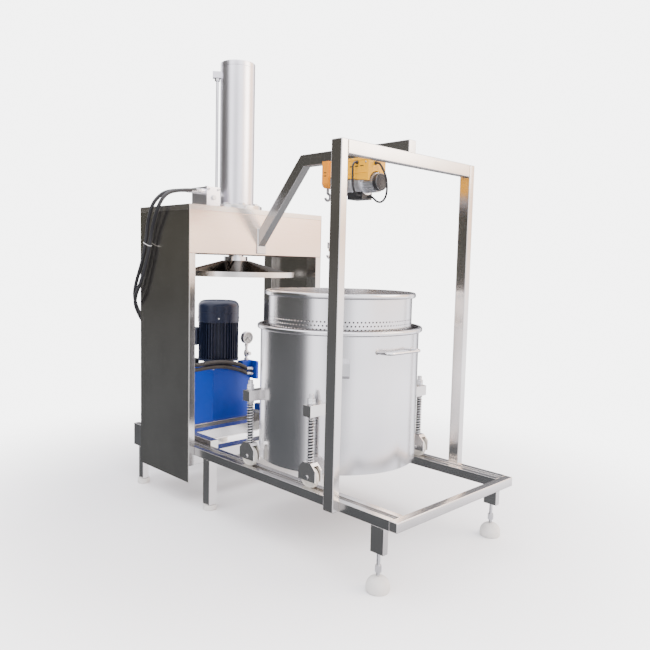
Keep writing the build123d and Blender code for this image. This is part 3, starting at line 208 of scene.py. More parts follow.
def two_tone(name, height, below, above, rough, metal):
    """A surface that changes its tone at a height."""
    material, tree, principled = shader(name, Metallic=metal, Specular_IOR_Level=0.4)
    coords = tree.nodes.new("ShaderNodeTexCoord")
    parts = tree.nodes.new("ShaderNodeSeparateXYZ")
    tree.links.new(coords.outputs["Object"], parts.inputs["Vector"])
    share = tree.nodes.new("ShaderNodeMapRange")
    share.inputs["From Min"].default_value = height - 0.0005
    share.inputs["From Max"].default_value = height + 0.0005
    tree.links.new(parts.outputs["Z"], share.inputs["Value"])
    mix = tree.nodes.new("ShaderNodeMix")
    mix.data_type = "RGBA"
    tree.links.new(share.outputs["Result"], mix.inputs["Factor"])
    cloud = noise(tree, 2.5, detail=3.0)
    for socket, colour in (("A", below), ("B", above)):
        darker = tuple(channel * 0.86 for channel in colour)
        tree.links.new(ramp(tree, cloud, [(0.3, darker), (0.68, colour)]), mix.inputs[socket])
    tree.links.new(mix.outputs["Result"], principled.inputs["Base Color"])
    dulled = spread(tree, noise(tree, 14.0), rough - 0.05, rough + 0.07)
    tree.links.new(dulled, principled.inputs["Roughness"])
    return material


# How the brush lines are drawn out along each axis
level_lines = (1.5, 1.5, 420)
upright_lines = (300, 300, 1.2)
rail_lines = (300, 1.5, 300)
cross_lines = (1.5, 300, 300)
barrel_lines = (420, 420, 1.2)
cylinder_lines = (420, 420, 2)

# The side panels take a darker copy of the same stainless steel: painted shade standing in for the dark
# reflections on them.
panel_steel_painted_shade = brushed_steel("panel_steel_painted_shade", (0.44, 0.42, 0.39), (0.56, 0.54, 0.5), 0.22, level_lines, 0.006)
sheet_steel = brushed_steel("sheet_steel", (0.64, 0.61, 0.58), (0.76, 0.73, 0.7), 0.24, level_lines, 0.008)
# The head beams take a warm cream tinted copy of the stainless steel: painted warm reflection.
head_steel_painted_reflection = brushed_steel("head_steel_painted_reflection", (0.7, 0.58, 0.5), (0.82, 0.7, 0.61), 0.26, level_lines, 0.008)
upright_steel = brushed_steel(
    "upright_steel", (0.58, 0.56, 0.54), (0.74, 0.72, 0.7), 0.2, upright_lines, 0.003
)
rail_steel = brushed_steel("rail_steel", (0.5, 0.49, 0.48), (0.64, 0.63, 0.62), 0.24, rail_lines, 0.003)
cross_steel = brushed_steel("cross_steel", (0.6, 0.58, 0.56), (0.74, 0.72, 0.7), 0.24, cross_lines, 0.003)
barrel_steel = brushed_steel(
    "barrel_steel", (0.62, 0.62, 0.63), (0.74, 0.73, 0.74), 0.22, barrel_lines, 0.006
)
cylinder_steel = brushed_steel(
    "cylinder_steel", (0.74, 0.73, 0.77), (0.84, 0.83, 0.87), 0.3, cylinder_lines, 0.008
)
weld_steel = bright_metal("weld_steel", (0.5, 0.47, 0.43), 0.34, 220.0)
chrome = bright_metal("chrome", (0.82, 0.82, 0.84), 0.12, 900.0)
bright_steel = bright_metal("bright_steel", (0.66, 0.66, 0.67), 0.26)
satin_steel = bright_metal("satin_steel", (0.8, 0.8, 0.81), 0.42)
dark_steel = bright_metal("dark_steel", (0.06, 0.06, 0.062), 0.45)
cast_aluminium = bright_metal("cast_aluminium", (0.88, 0.89, 0.92), 0.4, 260.0)
cast_iron = bright_metal("cast_iron", (0.2, 0.2, 0.2), 0.5, 160.0)
navy = paint("navy", (0.011, 0.017, 0.042), 0.36)
blue = paint("blue", (0.001, 0.042, 0.4), 0.42)
yellow = paint("yellow", (0.96, 0.46, 0.012), 0.36)
orange = paint("orange", (0.88, 0.31, 0.02), 0.34)
gear_foot = 1.6995
# The press plate is painted dark above plate_top: painted shade on its top under the head beams, with its
# rim left bright.
plate_top = 1.2672
gear_paint = two_tone("gear_paint", gear_foot, (0.24, 0.24, 0.245), (0.88, 0.31, 0.02), 0.34, 0.0)
plate_painted_shade_steel = two_tone("plate_painted_shade_steel", plate_top, (0.72, 0.7, 0.67), (0.17, 0.16, 0.15), 0.28, 1.0)
dial_white = paint("dial_white", (0.86, 0.86, 0.83), 0.4)
white_plastic = moulded("white_plastic", (0.66, 0.65, 0.62), 0.42, shade=0.88)
nylon = moulded("nylon", (0.66, 0.63, 0.56), 0.45, shade=0.86)
black_plastic = moulded("black_plastic", (0.02, 0.02, 0.022), 0.42)
rubber = moulded("rubber", (0.014, 0.014, 0.016), 0.4, grain=500.0)
sleeve_rubber = moulded("sleeve_rubber", (0.045, 0.042, 0.04), 0.5, grain=400.0)
glass, glass_tree, glass_shader = shader("gauge_glass", Transmission_Weight=1.0, IOR=1.45)
glass_haze = spread(glass_tree, noise(glass_tree, 60.0), 0.02, 0.06)
glass_tree.links.new(glass_haze, glass_shader.inputs["Roughness"])

finishes = {
    panel_steel_painted_shade: "side_panels",
    head_steel_painted_reflection: "head_beams",
    sheet_steel: "head_plate bed_table unit_platform",
    upright_steel: "press_columns gantry_posts rail_legs",
    rail_steel: "side_rails base_beams hoist_beam",
    cross_steel: "front_crossbar gantry_beam cylinder_flange caster_brackets caster_forks",
    barrel_steel: "outer_barrel basket",
    cylinder_steel: "cylinder_tube cylinder_cap port_block",
    chrome: "piston_rod cylinder_pipe pull_handle",
    satin_steel: "gauge_case",
    bright_steel: "foot_screws flange_bolts caster_axles motor_rotor rope_drum hook_socket lifting_hook",
    cast_aluminium: "hoist_motor",
    cast_iron: "gear_pump",
    navy: "bell_housing motor_body fan_cowl terminal_box",
    blue: "oil_tank tank_lid valve_manifold",
    yellow: "hoist_housing",
    gear_paint: "hoist_gearcase",
    plate_painted_shade_steel: "press_plate",
    white_plastic: "bell_feet leg_pads",
    nylon: "wheel_front_left wheel_front_right wheel_rear_left wheel_rear_right",
    black_plastic: "gauge_needle filler_cap capacitor_box limit_lever",
    rubber: "pressure_hose return_hose hoist_cables",
}
for material, names in finishes.items():
    for name in names.split():
        nodes[name].data.materials.clear()
        nodes[name].data.materials.append(material)


def turned_to(axis):
    """The turn that takes the z axis to a direction."""
    return Vector((0, 0, 1)).rotation_difference(Vector(axis)).to_matrix().to_4x4()


def lathe(shape, profile, place, axis=(0, 0, 1), steps=32):
    """Adds a turned form to a shape: pairs of radius and height about an axis."""
    turn = Matrix.Translation(place) @ turned_to(axis)
    rings = []
    for radius, height in profile:
        if radius == 0:
            rings.append([shape.verts.new(turn @ Vector((0, 0, height)))] * steps)
            continue
        ring = []
        for k in range(steps):
            angle = math.tau * k / steps
            spot = Vector((radius * math.cos(angle), radius * math.sin(angle), height))
            ring.append(shape.verts.new(turn @ spot))
        rings.append(ring)
    for low, high in zip(rings, rings[1:]):
        for k in range(steps):
            corners = [low[k], low[(k + 1) % steps], high[(k + 1) % steps], high[k]]
            shape.faces.new(list(dict.fromkeys(corners)))


def sweep(shape, points, radius, sides=8):
    """Adds a round bar along points to a shape."""
    points = [Vector(point) for point in points]
    last = len(points) - 1
    side = None
    rings = []
    for k, point in enumerate(points):
        along = (points[min(k + 1, last)] - points[max(k - 1, 0)]).normalized()
        side = along.orthogonal() if side is None else side - along * side.dot(along)
        side.normalize()
        across = along.cross(side)
        size = radius(k) if callable(radius) else radius
        ring = []
        for s in range(sides):
            angle = math.tau * s / sides
            ring.append(shape.verts.new(point + size * (math.cos(angle) * side + math.sin(angle) * across)))
        rings.append(ring)
    for low, high in zip(rings, rings[1:]):
        for s in range(sides):
            shape.faces.new((low[s], low[(s + 1) % sides], high[(s + 1) % sides], high[s]))
    shape.faces.new(rings[0])
    shape.faces.new(rings[-1])


def bolt(shape, place, axis, across, high, washer=0.0015):
    """Adds a hexagon head on its washer to a shape."""
    edge = across / math.sqrt(3)
    lathe(shape, [(0, 0), (edge * 1.25, 0), (edge * 1.25, washer), (0, washer)], place, axis, 24)
    chamfer = high * 0.15
    head = [(edge, washer), (edge, high - chamfer), (edge * 0.9, high), (0, high)]
    lathe(shape, head, place, axis, 6)


def slab(shape, low, high):
    """Adds a block between two corners to a shape."""
    middle = [(a + b) / 2 for a, b in zip(low, high)]
    size = [b - a for a, b in zip(low, high)]
    place = Matrix.Translation(middle) @ Matrix.Diagonal((*size, 1))
    bmesh.ops.create_cube(shape, size=1.0, matrix=place)


def finished(name, shape, round_off=0.0):
    """A shape as a mesh, with its edges rounded and its curved faces smooth."""
    if round_off:
        closed = [edge for edge in shape.edges if len(edge.link_faces) == 2]
        sharp = [edge for edge in closed if edge.calc_face_angle() > math.radians(40)]
        bmesh.ops.bevel(
            shape, geom=sharp, offset=round_off, segments=2, profile=0.5, affect="EDGES", clamp_overlap=True
        )
    bmesh.ops.recalc_face_normals(shape, faces=shape.faces)
    mesh = bpy.data.meshes.new(name)
    shape.to_mesh(mesh)
    shape.free()
    mesh.polygons.foreach_set("use_smooth", [True] * len(mesh.polygons))
    mesh.set_sharp_from_angle(angle=math.radians(32))
    return mesh


def piece(name, mesh, body, material):
    """A finished mesh as a piece that rides on a body."""
    thing = bpy.data.objects.new(name, mesh)
    bpy.context.scene.collection.objects.link(thing)
    mesh.materials.append(material)
    if body:
        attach(thing, body)
    return thing


def made(name, shape, body, material, round_off=0.0):
    """A shape, with its edges rounded, as a piece that rides on a body."""
    return piece(name, finished(name, shape, round_off), body, material)


def cord_curve(name, points, diameter):
    """A smooth cord through its route's control points."""
    curve = bpy.data.curves.new(name, "CURVE")
    curve.dimensions = "3D"
    curve.bevel_depth = diameter / 2
    curve.bevel_resolution = 4
    curve.resolution_u = 8
    spline = curve.splines.new("NURBS")
    spline.points.add(len(points) - 1)
    for point, place in zip(spline.points, points):
        point.co = (*place, 1.0)
    spline.order_u = 3
    spline.use_endpoint_u = True
    return curve


def along_spline(spline, steps):
    """Points along a cord, read from its spline of third order."""
    held = [point.co.xyz for point in spline.points]
    found = []
    for k in range(1, len(held) - 1):
        start = held[0] if k == 1 else (held[k - 1] + held[k]) / 2
        end = held[-1] if k == len(held) - 2 else (held[k] + held[k + 1]) / 2
        for step in range(steps):
            t = step / steps
            found.append(start * (1 - t) ** 2 + held[k] * 2 * t * (1 - t) + end * t * t)
    return found + [held[-1]]


# Hydraulic hoses, by the control points of their routes, measured from the front of the press
hose_points = {
    "pressure_hose": [
        (-0.285, 0.193, 1.714),
        (-0.350, 0.193, 1.714),
        (-0.452, 0.228, 1.699),
        (-0.492, 0.236, 1.665),
        (-0.513, 0.254, 1.613),
        (-0.511, 0.286, 1.561),
        (-0.508, 0.321, 1.505),
        (-0.506, 0.346, 1.443),
        (-0.506, 0.368, 1.363),
        (-0.507, 0.402, 1.284),
        (-0.510, 0.444, 1.197),
        (-0.516, 0.488, 1.128),
        (-0.505, 0.526, 1.072),
        (-0.470, 0.556, 1.018),
        (-0.428, 0.581, 0.966),
        (-0.366, 0.604, 0.902),
        (-0.298, 0.630, 0.828),
        (-0.235, 0.646, 0.752),
        (-0.160, 0.652, 0.690),
        (-0.080, 0.652, 0.652),
        (0.005, 0.652, 0.643),
        (0.066, 0.652, 0.649),
        (0.126, 0.652, 0.652),
        (0.182, 0.652, 0.651),
        (0.235, 0.652, 0.646),
        (0.293, 0.652, 0.635),
        (0.348, 0.652, 0.621),
        (0.392, 0.652, 0.602),
        (0.432, 0.652, 0.580),
        (0.472, 0.652, 0.580),
    ],
    "return_hose": [
        (-0.285, 0.233, 1.714),
        (-0.350, 0.233, 1.714),
        (-0.445, 0.270, 1.703),
        (-0.484, 0.291, 1.675),
        (-0.511, 0.317, 1.628),
        (-0.513, 0.346, 1.568),
        (-0.509, 0.373, 1.506),
        (-0.506, 0.390, 1.443),
        (-0.506, 0.415, 1.363),
        (-0.507, 0.451, 1.283),
        (-0.510, 0.498, 1.195),
        (-0.505, 0.531, 1.128),
        (-0.478, 0.566, 1.066),
        (-0.437, 0.593, 1.007),
        (-0.386, 0.618, 0.948),
        (-0.318, 0.646, 0.876),
        (-0.250, 0.672, 0.798),
        (-0.190, 0.682, 0.715),
        (-0.125, 0.678, 0.655),
        (-0.060, 0.664, 0.621),
        (0.005, 0.652, 0.612),
        (0.066, 0.652, 0.618),
        (0.126, 0.652, 0.620),
        (0.182, 0.652, 0.619),
        (0.235, 0.652, 0.614),
        (0.293, 0.652, 0.600),
        (0.349, 0.652, 0.584),
        (0.392, 0.652, 0.568),
        (0.432, 0.652, 0.546),
        (0.472, 0.652, 0.546),
    ],
}
sleeve_radius = 0.0132
sleeve_ridge = 0.0005
sleeve_start = -0.11
sleeve_end = 0.412
sleeve_top = 0.68
hose_lines = []
for hose_name, route in hose_points.items():
    points = [(x, press_front + y, z) for x, y, z in route]
    curve = cord_curve(hose_name, points, hose_diameter)
    hose = piece(hose_name + "_rubber", curve, "frame", rubber)
    line = along_spline(hose.data.splines[0], 12)
    hose_lines.append(line)
    ends = bmesh.new()
    swivel_nut = [(0, 0), (0.0136, 0), (0.0136, 0.014), (0.0122, 0.016), (0, 0.016)]
    crimp = [(0, 0.0), (0.0102, 0.0), (0.0115, 0.002), (0.0115, 0.012), (0.0108, 0.014), (0.0115, 0.016)]
    crimp += [(0.0115, 0.024), (0.0108, 0.026), (0.0115, 0.028), (0.0115, 0.036), (0.0103, 0.039)]
    for place, axis in ((line[0], line[8] - line[0]), (line[-1], line[-8] - line[-1])):
        axis.normalize()
        lathe(ends, swivel_nut, place, axis, 6)
        lathe(ends, crimp, place + axis * swivel_nut[-1][1], axis, 32)
    fittings = made(hose_name + "_fittings", ends, "frame", bright_steel)
    guard = bmesh.new()
    guarded = [point for point in line if point.z < sleeve_top and sleeve_start < point.x < sleeve_end]
    guarded = [a.lerp(b, k / 3) for a, b in zip(guarded, guarded[1:]) for k in range(3)]
    sweep(guard, guarded, lambda k: sleeve_radius + sleeve_ridge * math.sin(math.tau * k / 6), 24)
    sleeve = made(hose_name + "_sleeve", guard, "frame", sleeve_rubber)
    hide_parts(hose_name)

# Tie that holds the hoses together beside the panel
tie_z = 1.405
tie_radius = 0.0118
tied = min(hose_lines[0], key=lambda point: abs(point.z - tie_z))
partner = min(hose_lines[1], key=lambda point: (point - tied).length)
lower = min(hose_lines[0], key=lambda point: abs(point.z - tie_z + 0.020))
between = (partner - tied) / 2
outward = between.cross(lower - tied).normalized()
loop = []
for k in range(49):
    angle = math.tau * k / 48
    centre = tied + between * (1 + (1 if math.cos(angle) > 0 else -1))
    loop.append(centre + tie_radius * (math.cos(angle) * between.normalized() + math.sin(angle) * outward))
tie = bmesh.new()
sweep(tie, loop, 0.0022, 8)
made("hose_tie", tie, "frame", white_plastic)

# Unions and screws of the port block and its pipe
unions = bmesh.new()
union = [(0.0082, 0), (0.0135, 0), (0.015, 0.002), (0.015, 0.016), (0.0135, 0.018), (0.0082, 0.018)]
socket = [(0.007, 0), (0.007, 0.0065), (0.0063, 0.0075), (0.0038, 0.0075), (0.0038, 0.004), (0, 0.004)]
plug = [(0.013, 0), (0.0145, 0.001), (0.0145, 0.009), (0.013, 0.01), (0, 0.01)]
lathe(unions, union, (block_middle + 0.045, pipe_y, pipe_z), (1, 0, 0), 6)
lathe(unions, union, (-0.0949, pipe_y, 2.382), (0, 0, -1), 6)
for x in (block_middle - 0.033, block_middle + 0.033):
    for z in (block_top - 0.107, block_top - 0.014):
        lathe(unions, socket, (x, block_front, z), (0, -1, 0), 24)
lathe(unions, plug, (block_middle, block_front, block_top - 0.060), (0, -1, 0), 6)
lathe(unions, plug, (block_middle, block_front + 0.066, block_top), (0, 0, 1), 6)
made("port_unions", unions, "frame", bright_steel)

# Control cables of the hoist
cable_points = {
    "side": [
        (-0.062, -0.588, 1.808),
        (-0.077, -0.588, 1.808),
        (-0.089, -0.588, 1.800),
        (-0.094, -0.588, 1.786),
        (-0.093, -0.588, 1.740),
        (-0.090, -0.588, 1.700),
        (-0.082, -0.588, 1.676),
        (-0.068, -0.588, 1.659),
        (-0.052, -0.588, 1.653),
        (-0.036, -0.588, 1.653),
    ],
    "front": [
        (-0.014, -0.660, 1.804),
        (-0.014, -0.676, 1.804),
        (-0.014, -0.690, 1.797),
        (-0.013, -0.702, 1.780),
        (-0.010, -0.722, 1.745),
        (-0.004, -0.726, 1.710),
        (0.004, -0.722, 1.672),
        (0.010, -0.708, 1.640),
        (0.014, -0.682, 1.622),
        (0.014, -0.655, 1.624),
        (0.014, -0.633, 1.640),
        (0.014, -0.616, 1.653),
        (0.014, -0.600, 1.653),
    ],
}
cable_ways = {"side": (-1, 0, 0), "front": (0, -1, 0)}
for cable_name, points in cable_points.items():
    title = "hoist_cable_" + cable_name
    cable = piece(title, cord_curve(title, points, cable_diameter), "frame", rubber)
    glands = bmesh.new()
    gland = [(0, 0), (0.0085, 0), (0.0085, 0.005), (0.007, 0.0055), (0.0065, 0.009), (0.0052, 0.011)]
    for place in (points[0], points[-1]):
        lathe(glands, gland, place, cable_ways[cable_name], 12)
    gland_piece = made(title + "_glands", glands, "frame", black_plastic)
    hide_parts("hoist_cables")

# Caster springs with closed end turns, pressed together as the barrel settles
spring_low = 0.430
spring_high = 0.6397
spring_wire = 0.005
spring_turns = 16
spring_radius = 0.015
springs = bmesh.new()
for x, y in caster_places:
    coil = []
    for k in range(spring_turns * 20 + 1):
        turn = k / 20
        share = (turn - 1) / (spring_turns - 2)
        rise = spring_wire * min(turn, 1) + spring_wire * max(turn - spring_turns + 1, 0)
        rise += (spring_high - spring_low - 3 * spring_wire) * min(max(share, 0), 1)
        angle = math.tau * turn
        level = spring_low + spring_wire / 2 + rise
        coil.append((x + spring_radius * math.cos(angle), y + spring_radius * math.sin(angle), level))
    sweep(springs, coil, spring_wire / 2)
spring_piece = made("caster_spring_coils", springs, None, bright_steel)
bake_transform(spring_piece)
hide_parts("caster_springs")


def strands(shape, points, radius, lay, count=6):
    """Adds a wire rope along points to a shape: strands laid round a core."""
    points = [Vector(point) for point in points]
    last = len(points) - 1
    lines = [[] for _ in range(count)]
    side = None
    run = 0.0
    for k, point in enumerate(points):
        along = (points[min(k + 1, last)] - points[max(k - 1, 0)]).normalized()
        side = along.orthogonal() if side is None else side - along * side.dot(along)
        side.normalize()
        across = along.cross(side)
        run += (point - points[max(k - 1, 0)]).length
        for s, line in enumerate(lines):
            angle = math.tau * (s / count + run / lay)
            line.append(point + radius * 0.63 * (math.cos(angle) * side + math.sin(angle) * across))
    for line in lines:
        sweep(shape, line, radius * 0.36, 6)
    sweep(shape, points, radius * 0.5, 6)


# Wire rope of the hoist: the hanging part and the turns on the drum
rope_top = drum_z
rope_low = 1.431
rope_line = [(rope_x, rope_y, rope_top + (rope_low - rope_top) * k / 90) for k in range(91)]
rope_radius = 0.003
rope_lay = 0.036
rope = bmesh.new()
strands(rope, rope_line, rope_radius, rope_lay)
rope_piece = made("hoist_rope_strands", rope, None, bright_steel)
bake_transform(rope_piece)
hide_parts("hoist_rope")
winding = bmesh.new()
winding_line = []
winding_turns = 8
winding_radius = abs(rope_x)
winding_pitch = 0.0068
winding_start = -0.401
for k in range(winding_turns * 40 + 1):
    angle = math.pi - math.tau * k / 40
    across = winding_radius * math.cos(angle)
    level = drum_z + winding_radius * math.sin(angle)
    winding_line.append((across, winding_start - winding_pitch * k / 40, level))
strands(winding, winding_line, rope_radius, rope_lay)
winding_piece = made("rope_turns", winding, "drum", bright_steel)
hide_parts("rope_winding")

# Basket with its perforated wall, plain band, bead and foot ring
basket_low = 0.396
foot_ring = 0.3663
basket_top = 1.190
holes_low = 0.420
holes_high = 1.068
hole_columns = 120
hole_rows = 36
hole_radius = 0.0048
bead_low = 1.164
around = 2 * hole_columns
basket_middle = (0, barrel_y, 0)
basket = bmesh.new()
inner_radius = basket_radius - basket_wall


def wall_point(turn, z, radius):
    """A point of the basket's wall."""
    return basket.verts.new((radius * math.cos(turn), barrel_y + radius * math.sin(turn), z))


row_high = (holes_high - holes_low) / hole_rows
half_turn = math.pi / hole_columns
edge_lines = {}
for row in range(hole_rows + 1):
    for radius in (basket_radius, inner_radius):
        z = holes_low + row * row_high
        edge_lines[row, radius] = [wall_point(k * half_turn, z, radius) for k in range(around)]
for row in range(hole_rows):
    for column in range(hole_columns):
        first = 2 * column + row % 2
        middle = holes_low + (row + 0.5) * row_high
        rims = []
        for radius in (basket_radius, inner_radius):
            below = [edge_lines[row, radius][(first + k) % around] for k in range(3)]
            above = [edge_lines[row + 1, radius][(first + k) % around] for k in range(3)]
            border = [below[0], below[1], below[2], above[2], above[1], above[0]]
            rim = []
            for k in range(12):
                angle = math.radians(225 + 30 * k)
                turn = (first + 1) * half_turn + hole_radius * math.cos(angle) / radius
                rim.append(wall_point(turn, middle + hole_radius * math.sin(angle), radius))
            rims.append(rim)
            for k in range(6):
                basket.faces.new(
                    (border[k], border[(k + 1) % 6], rim[(2 * k + 2) % 12], rim[2 * k + 1], rim[2 * k])
                )
        for k in range(12):
            basket.faces.new((rims[0][k], rims[0][(k + 1) % 12], rims[1][(k + 1) % 12], rims[1][k]))
lathe(basket, [(basket_radius, holes_high), (basket_radius, bead_low)], basket_middle, steps=around)
lathe(basket, [(inner_radius, holes_high), (inner_radius, basket_top)], basket_middle, steps=around)
bead = [(inner_radius, basket_top), (0.366, basket_top), (0.373, 1.1892), (0.378, 1.1858), (0.380, 1.181)]
bead += [(0.380, 1.172), (0.378, 1.1672), (0.373, 1.1638), (0.366, 1.163), (basket_radius, bead_low)]
lathe(basket, bead, basket_middle, steps=around)
under = [(inner_radius, holes_low), (inner_radius, 0.403), (0.355, 0.400), (0.02, 0.400), (0, 0.400)]
lathe(basket, under, basket_middle, steps=around)
foot = [(basket_radius, holes_low), (basket_radius, 0.401), (0.357, basket_low), (0.310, basket_low)]
foot += [(0.310, foot_ring), (0.300, foot_ring), (0.300, basket_low), (0, basket_low)]
lathe(basket, foot, basket_middle, steps=around)
bmesh.ops.remove_doubles(basket, verts=basket.verts, dist=0.00002)
basket_piece = made("basket_perforated", basket, "basket", barrel_steel)
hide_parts("basket")

# Pieces whose edges are rounded as rolled tube, folded sheet, castings and machined blocks have them
rounding = {
    "side_rails": 0.0015,
    "front_crossbar": 0.004,
    "rail_legs": 0.003,
    "base_beams": 0.003,
    "press_columns": 0.002,
    "head_beams": 0.003,
    "head_plate": 0.002,
    "side_panels": 0.0008,
    "bed_table": 0.0015,
    "gantry_posts": 0.0045,
    "gantry_beam": 0.0045,
    "hoist_beam": 0.0045,
    "caster_forks": 0.002,
    "caster_brackets": 0.002,
    "port_block": 0.003,
    "cylinder_flange": 0.002,
    "cylinder_cap": 0.003,
    "valve_manifold": 0.002,
    "oil_tank": 0.004,
    "tank_lid": 0.002,
    "terminal_box": 0.004,
    "hoist_housing": 0.0035,
    "hoist_gearcase": 0.004,
    "capacitor_box": 0.003,
    "press_plate": 0.002,
    "leg_pads": 0.003,
    "fan_cowl": 0.0008,
}
for name, width in rounding.items():
    plain = nodes[name].data
    copy = bmesh.new()
    copy.from_mesh(plain)
    bmesh.ops.remove_doubles(copy, verts=copy.verts, dist=0.00003)
    bmesh.ops.dissolve_limit(copy, angle_limit=math.radians(1), verts=copy.verts, edges=copy.edges)
    rounded = made(name + "_edged", copy, body_of_node[name], plain.materials[0], width)
    rounded.modifiers.new("flat_faces", "WEIGHTED_NORMAL").keep_sharp = True
    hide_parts(name)

# Caster rods: a dark core inside the springs, and the nuts and threads above the brackets
cores = bmesh.new()
nuts = bmesh.new()
rod_radius = 0.011
core = [(rod_radius, 0.4302), (0.0116, 0.431), (0.0116, 0.6205), (rod_radius, 0.6215)]
washer = [(rod_radius, 0.6925), (0.0205, 0.6925), (0.0205, 0.6950), (rod_radius, 0.6950)]
thread = [(0.0112, 0.7215)]
for k in range(8):
    thread += [(0.0122, 0.7225 + 0.0024 * k), (0.0112, 0.7237 + 0.0024 * k)]
thread += [(0.0105, 0.7418), (0, 0.7420)]
for x, y in caster_places:
    lathe(cores, core, (x, y, 0), steps=24)
    lathe(nuts, washer, (x, y, 0), steps=32)
    for low, high in ((0.6952, 0.7112), (0.7114, 0.7214)):
        ring = [(rod_radius, low), (0.0165, low), (0.0185, low + 0.002)]
        ring += [(0.0185, high - 0.002), (0.0165, high), (rod_radius, high)]
        lathe(nuts, ring, (x, y, 0), steps=6)
    lathe(nuts, thread, (x, y, 0), steps=24)
made("caster_rod_cores", cores, "undercarriage", dark_steel)
made("caster_rod_nuts", nuts, "undercarriage", bright_steel)

# Hoist: ribs, vents and screws of the trough, cover of the gear case, rings and end cover of the motor
ribs = bmesh.new()
vents = bmesh.new()
screws = bmesh.new()
side_screw = [(0.0045, 0), (0.0045, 0.0015), (0.003, 0.0028), (0, 0.003)]
cover_screw = [(0.005, 0), (0.005, 0.002), (0.0035, 0.0034), (0, 0.0036)]
cover_face = -0.356
vent_count = 6
vent_pitch = 0.034
for side in (-1, 1):
    for low, high in ((1.7575, 1.7625), (1.8175, 1.8215)):
        slab(ribs, (side * 0.0612, -0.652, low), (side * 0.0638, -0.412, high))
    for k in range(vent_count):
        start = -0.628 + vent_pitch * k
        slab(vents, (side * 0.0615, start, 1.788), (side * 0.0627, start + 0.022, 1.793))
    for y in (-0.642, -0.425):
        lathe(screws, side_screw, (side * 0.062, y, 1.806), (side, 0, 0), 16)
    for z in (1.728, 1.802):
        lathe(screws, cover_screw, (side * 0.052, cover_face, z), (0, 1, 0), 16)
    for low in (1.772, 1.756):
        slab(vents, (side * 0.0747, -0.392, low), (side * 0.0756, -0.374, low + 0.004))
made("hoist_ribs", ribs, "frame", yellow, 0.001)
made("hoist_vents", vents, "frame", black_plastic, 0.0003)
made("hoist_screws", screws, "frame", bright_steel)
cover = bmesh.new()
slab(cover, (-0.062, cover_face - 0.007, 1.712), (0.062, cover_face, 1.818))
made("hoist_gear_cover", cover, "frame", orange, 0.004)
rings = bmesh.new()
band = [(0.0545, -0.004), (0.0565, -0.004), (0.0572, -0.002)]
band += [(0.0572, 0.002), (0.0565, 0.004), (0.0545, 0.004)]
for y in (-0.592, -0.535, -0.482):
    lathe(rings, band, (0, y, hoist_motor_z), (0, 1, 0), 64)
made("hoist_bell_rings", rings, "frame", cast_aluminium)
end_cover = bmesh.new()
cap = [(0.0402, -0.001), (0.0415, 0.0), (0.0415, 0.019), (0.0385, 0.0236), (0.033, 0.0246), (0.031, 0.0236)]
cap += [(0.028, 0.0236), (0.026, 0.0246), (0.022, 0.0246), (0.02, 0.0236), (0.016, 0.0236)]
cap += [(0.014, 0.025), (0, 0.025)]
lathe(end_cover, cap, (0, -0.668, hoist_motor_z), (0, -1, 0), 48)
made("hoist_end_cover", end_cover, "frame", black_plastic)

# Power unit: bolts, screws and a ring on the cowl
bolts = bmesh.new()
head = [(0.006, 0), (0.006, 0.0015), (0.004, 0.0032), (0, 0.0035)]
for k in range(4):
    angle = math.radians(55 + 90 * k)
    outward = Vector((math.cos(angle), math.sin(angle), 0))
    bolt(bolts, Vector((motor_x, motor_y, 0.640)) + outward * 0.126, (0, 0, -1), 0.017, 0.011)
    lathe(bolts, head, Vector((motor_x, motor_y, 0.934)) + outward * 0.1405, outward, 20)
lid_low, lid_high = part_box("tank_lid")
lid_inset = 0.016
for x in (lid_low.x + lid_inset, (lid_low.x + lid_high.x) / 2, lid_high.x - lid_inset):
    for y in (lid_low.y + lid_inset, lid_high.y - lid_inset):
        bolt(bolts, (x, y, lid_high.z), (0, 0, 1), 0.010, 0.006, 0.001)
made("power_unit_bolts", bolts, "frame", bright_steel)
cowl_ring = bmesh.new()
hoop = [(0.1405, 0), (0.1424, 0.001), (0.1424, 0.003), (0.1405, 0.004)]
for z in (0.909, 0.972):
    lathe(cowl_ring, hoop, (motor_x, motor_y, z), steps=96)
made("cowl_rings", cowl_ring, "frame", navy)

# Pressure gauge: bezel, dial with its scale, glass, and the valve under it
gauge_front = gauge_dial - 0.012
dial_radius = 0.0376
scale_start = 225
scale_turn = 270
scale_marks = 40
mark_outer = 0.035
figure_radius = 0.0215
bezel = bmesh.new()
rim = [(0.0375, 0.011), (0.0375, 0.0005), (0.0385, -0.001), (0.0415, -0.001), (0.0428, 0.001)]
rim += [(0.0428, 0.012), (0.0418, 0.014)]
lathe(bezel, rim, (gauge_x, gauge_front, gauge_z), (0, 1, 0), 64)
made("gauge_bezel", bezel, "frame", satin_steel)
dial = bmesh.new()
lathe(dial, [(0.0055, 0.0), (dial_radius, 0.0)], (gauge_x, gauge_dial - 0.0004, gauge_z), (0, 1, 0), 64)
made("gauge_dial_face", dial, "frame", dial_white)
scale = bmesh.new()
for k in range(scale_marks + 1):
    angle = math.radians(scale_start - scale_turn * k / scale_marks)
    outward = Vector((math.cos(angle), 0, math.sin(angle)))
    inner, wide = (0.0285, 0.0009) if k % 10 == 0 else (0.0315, 0.0005)
    middle = Vector((gauge_x, gauge_dial - 0.0006, gauge_z)) + outward * (inner + mark_outer) / 2
    turn = Matrix.Rotation(-angle, 4, "Y")
    size = Matrix.Diagonal((mark_outer - inner, 0.0002, wide, 1))
    bmesh.ops.create_cube(scale, size=1.0, matrix=Matrix.Translation(middle) @ turn @ size)
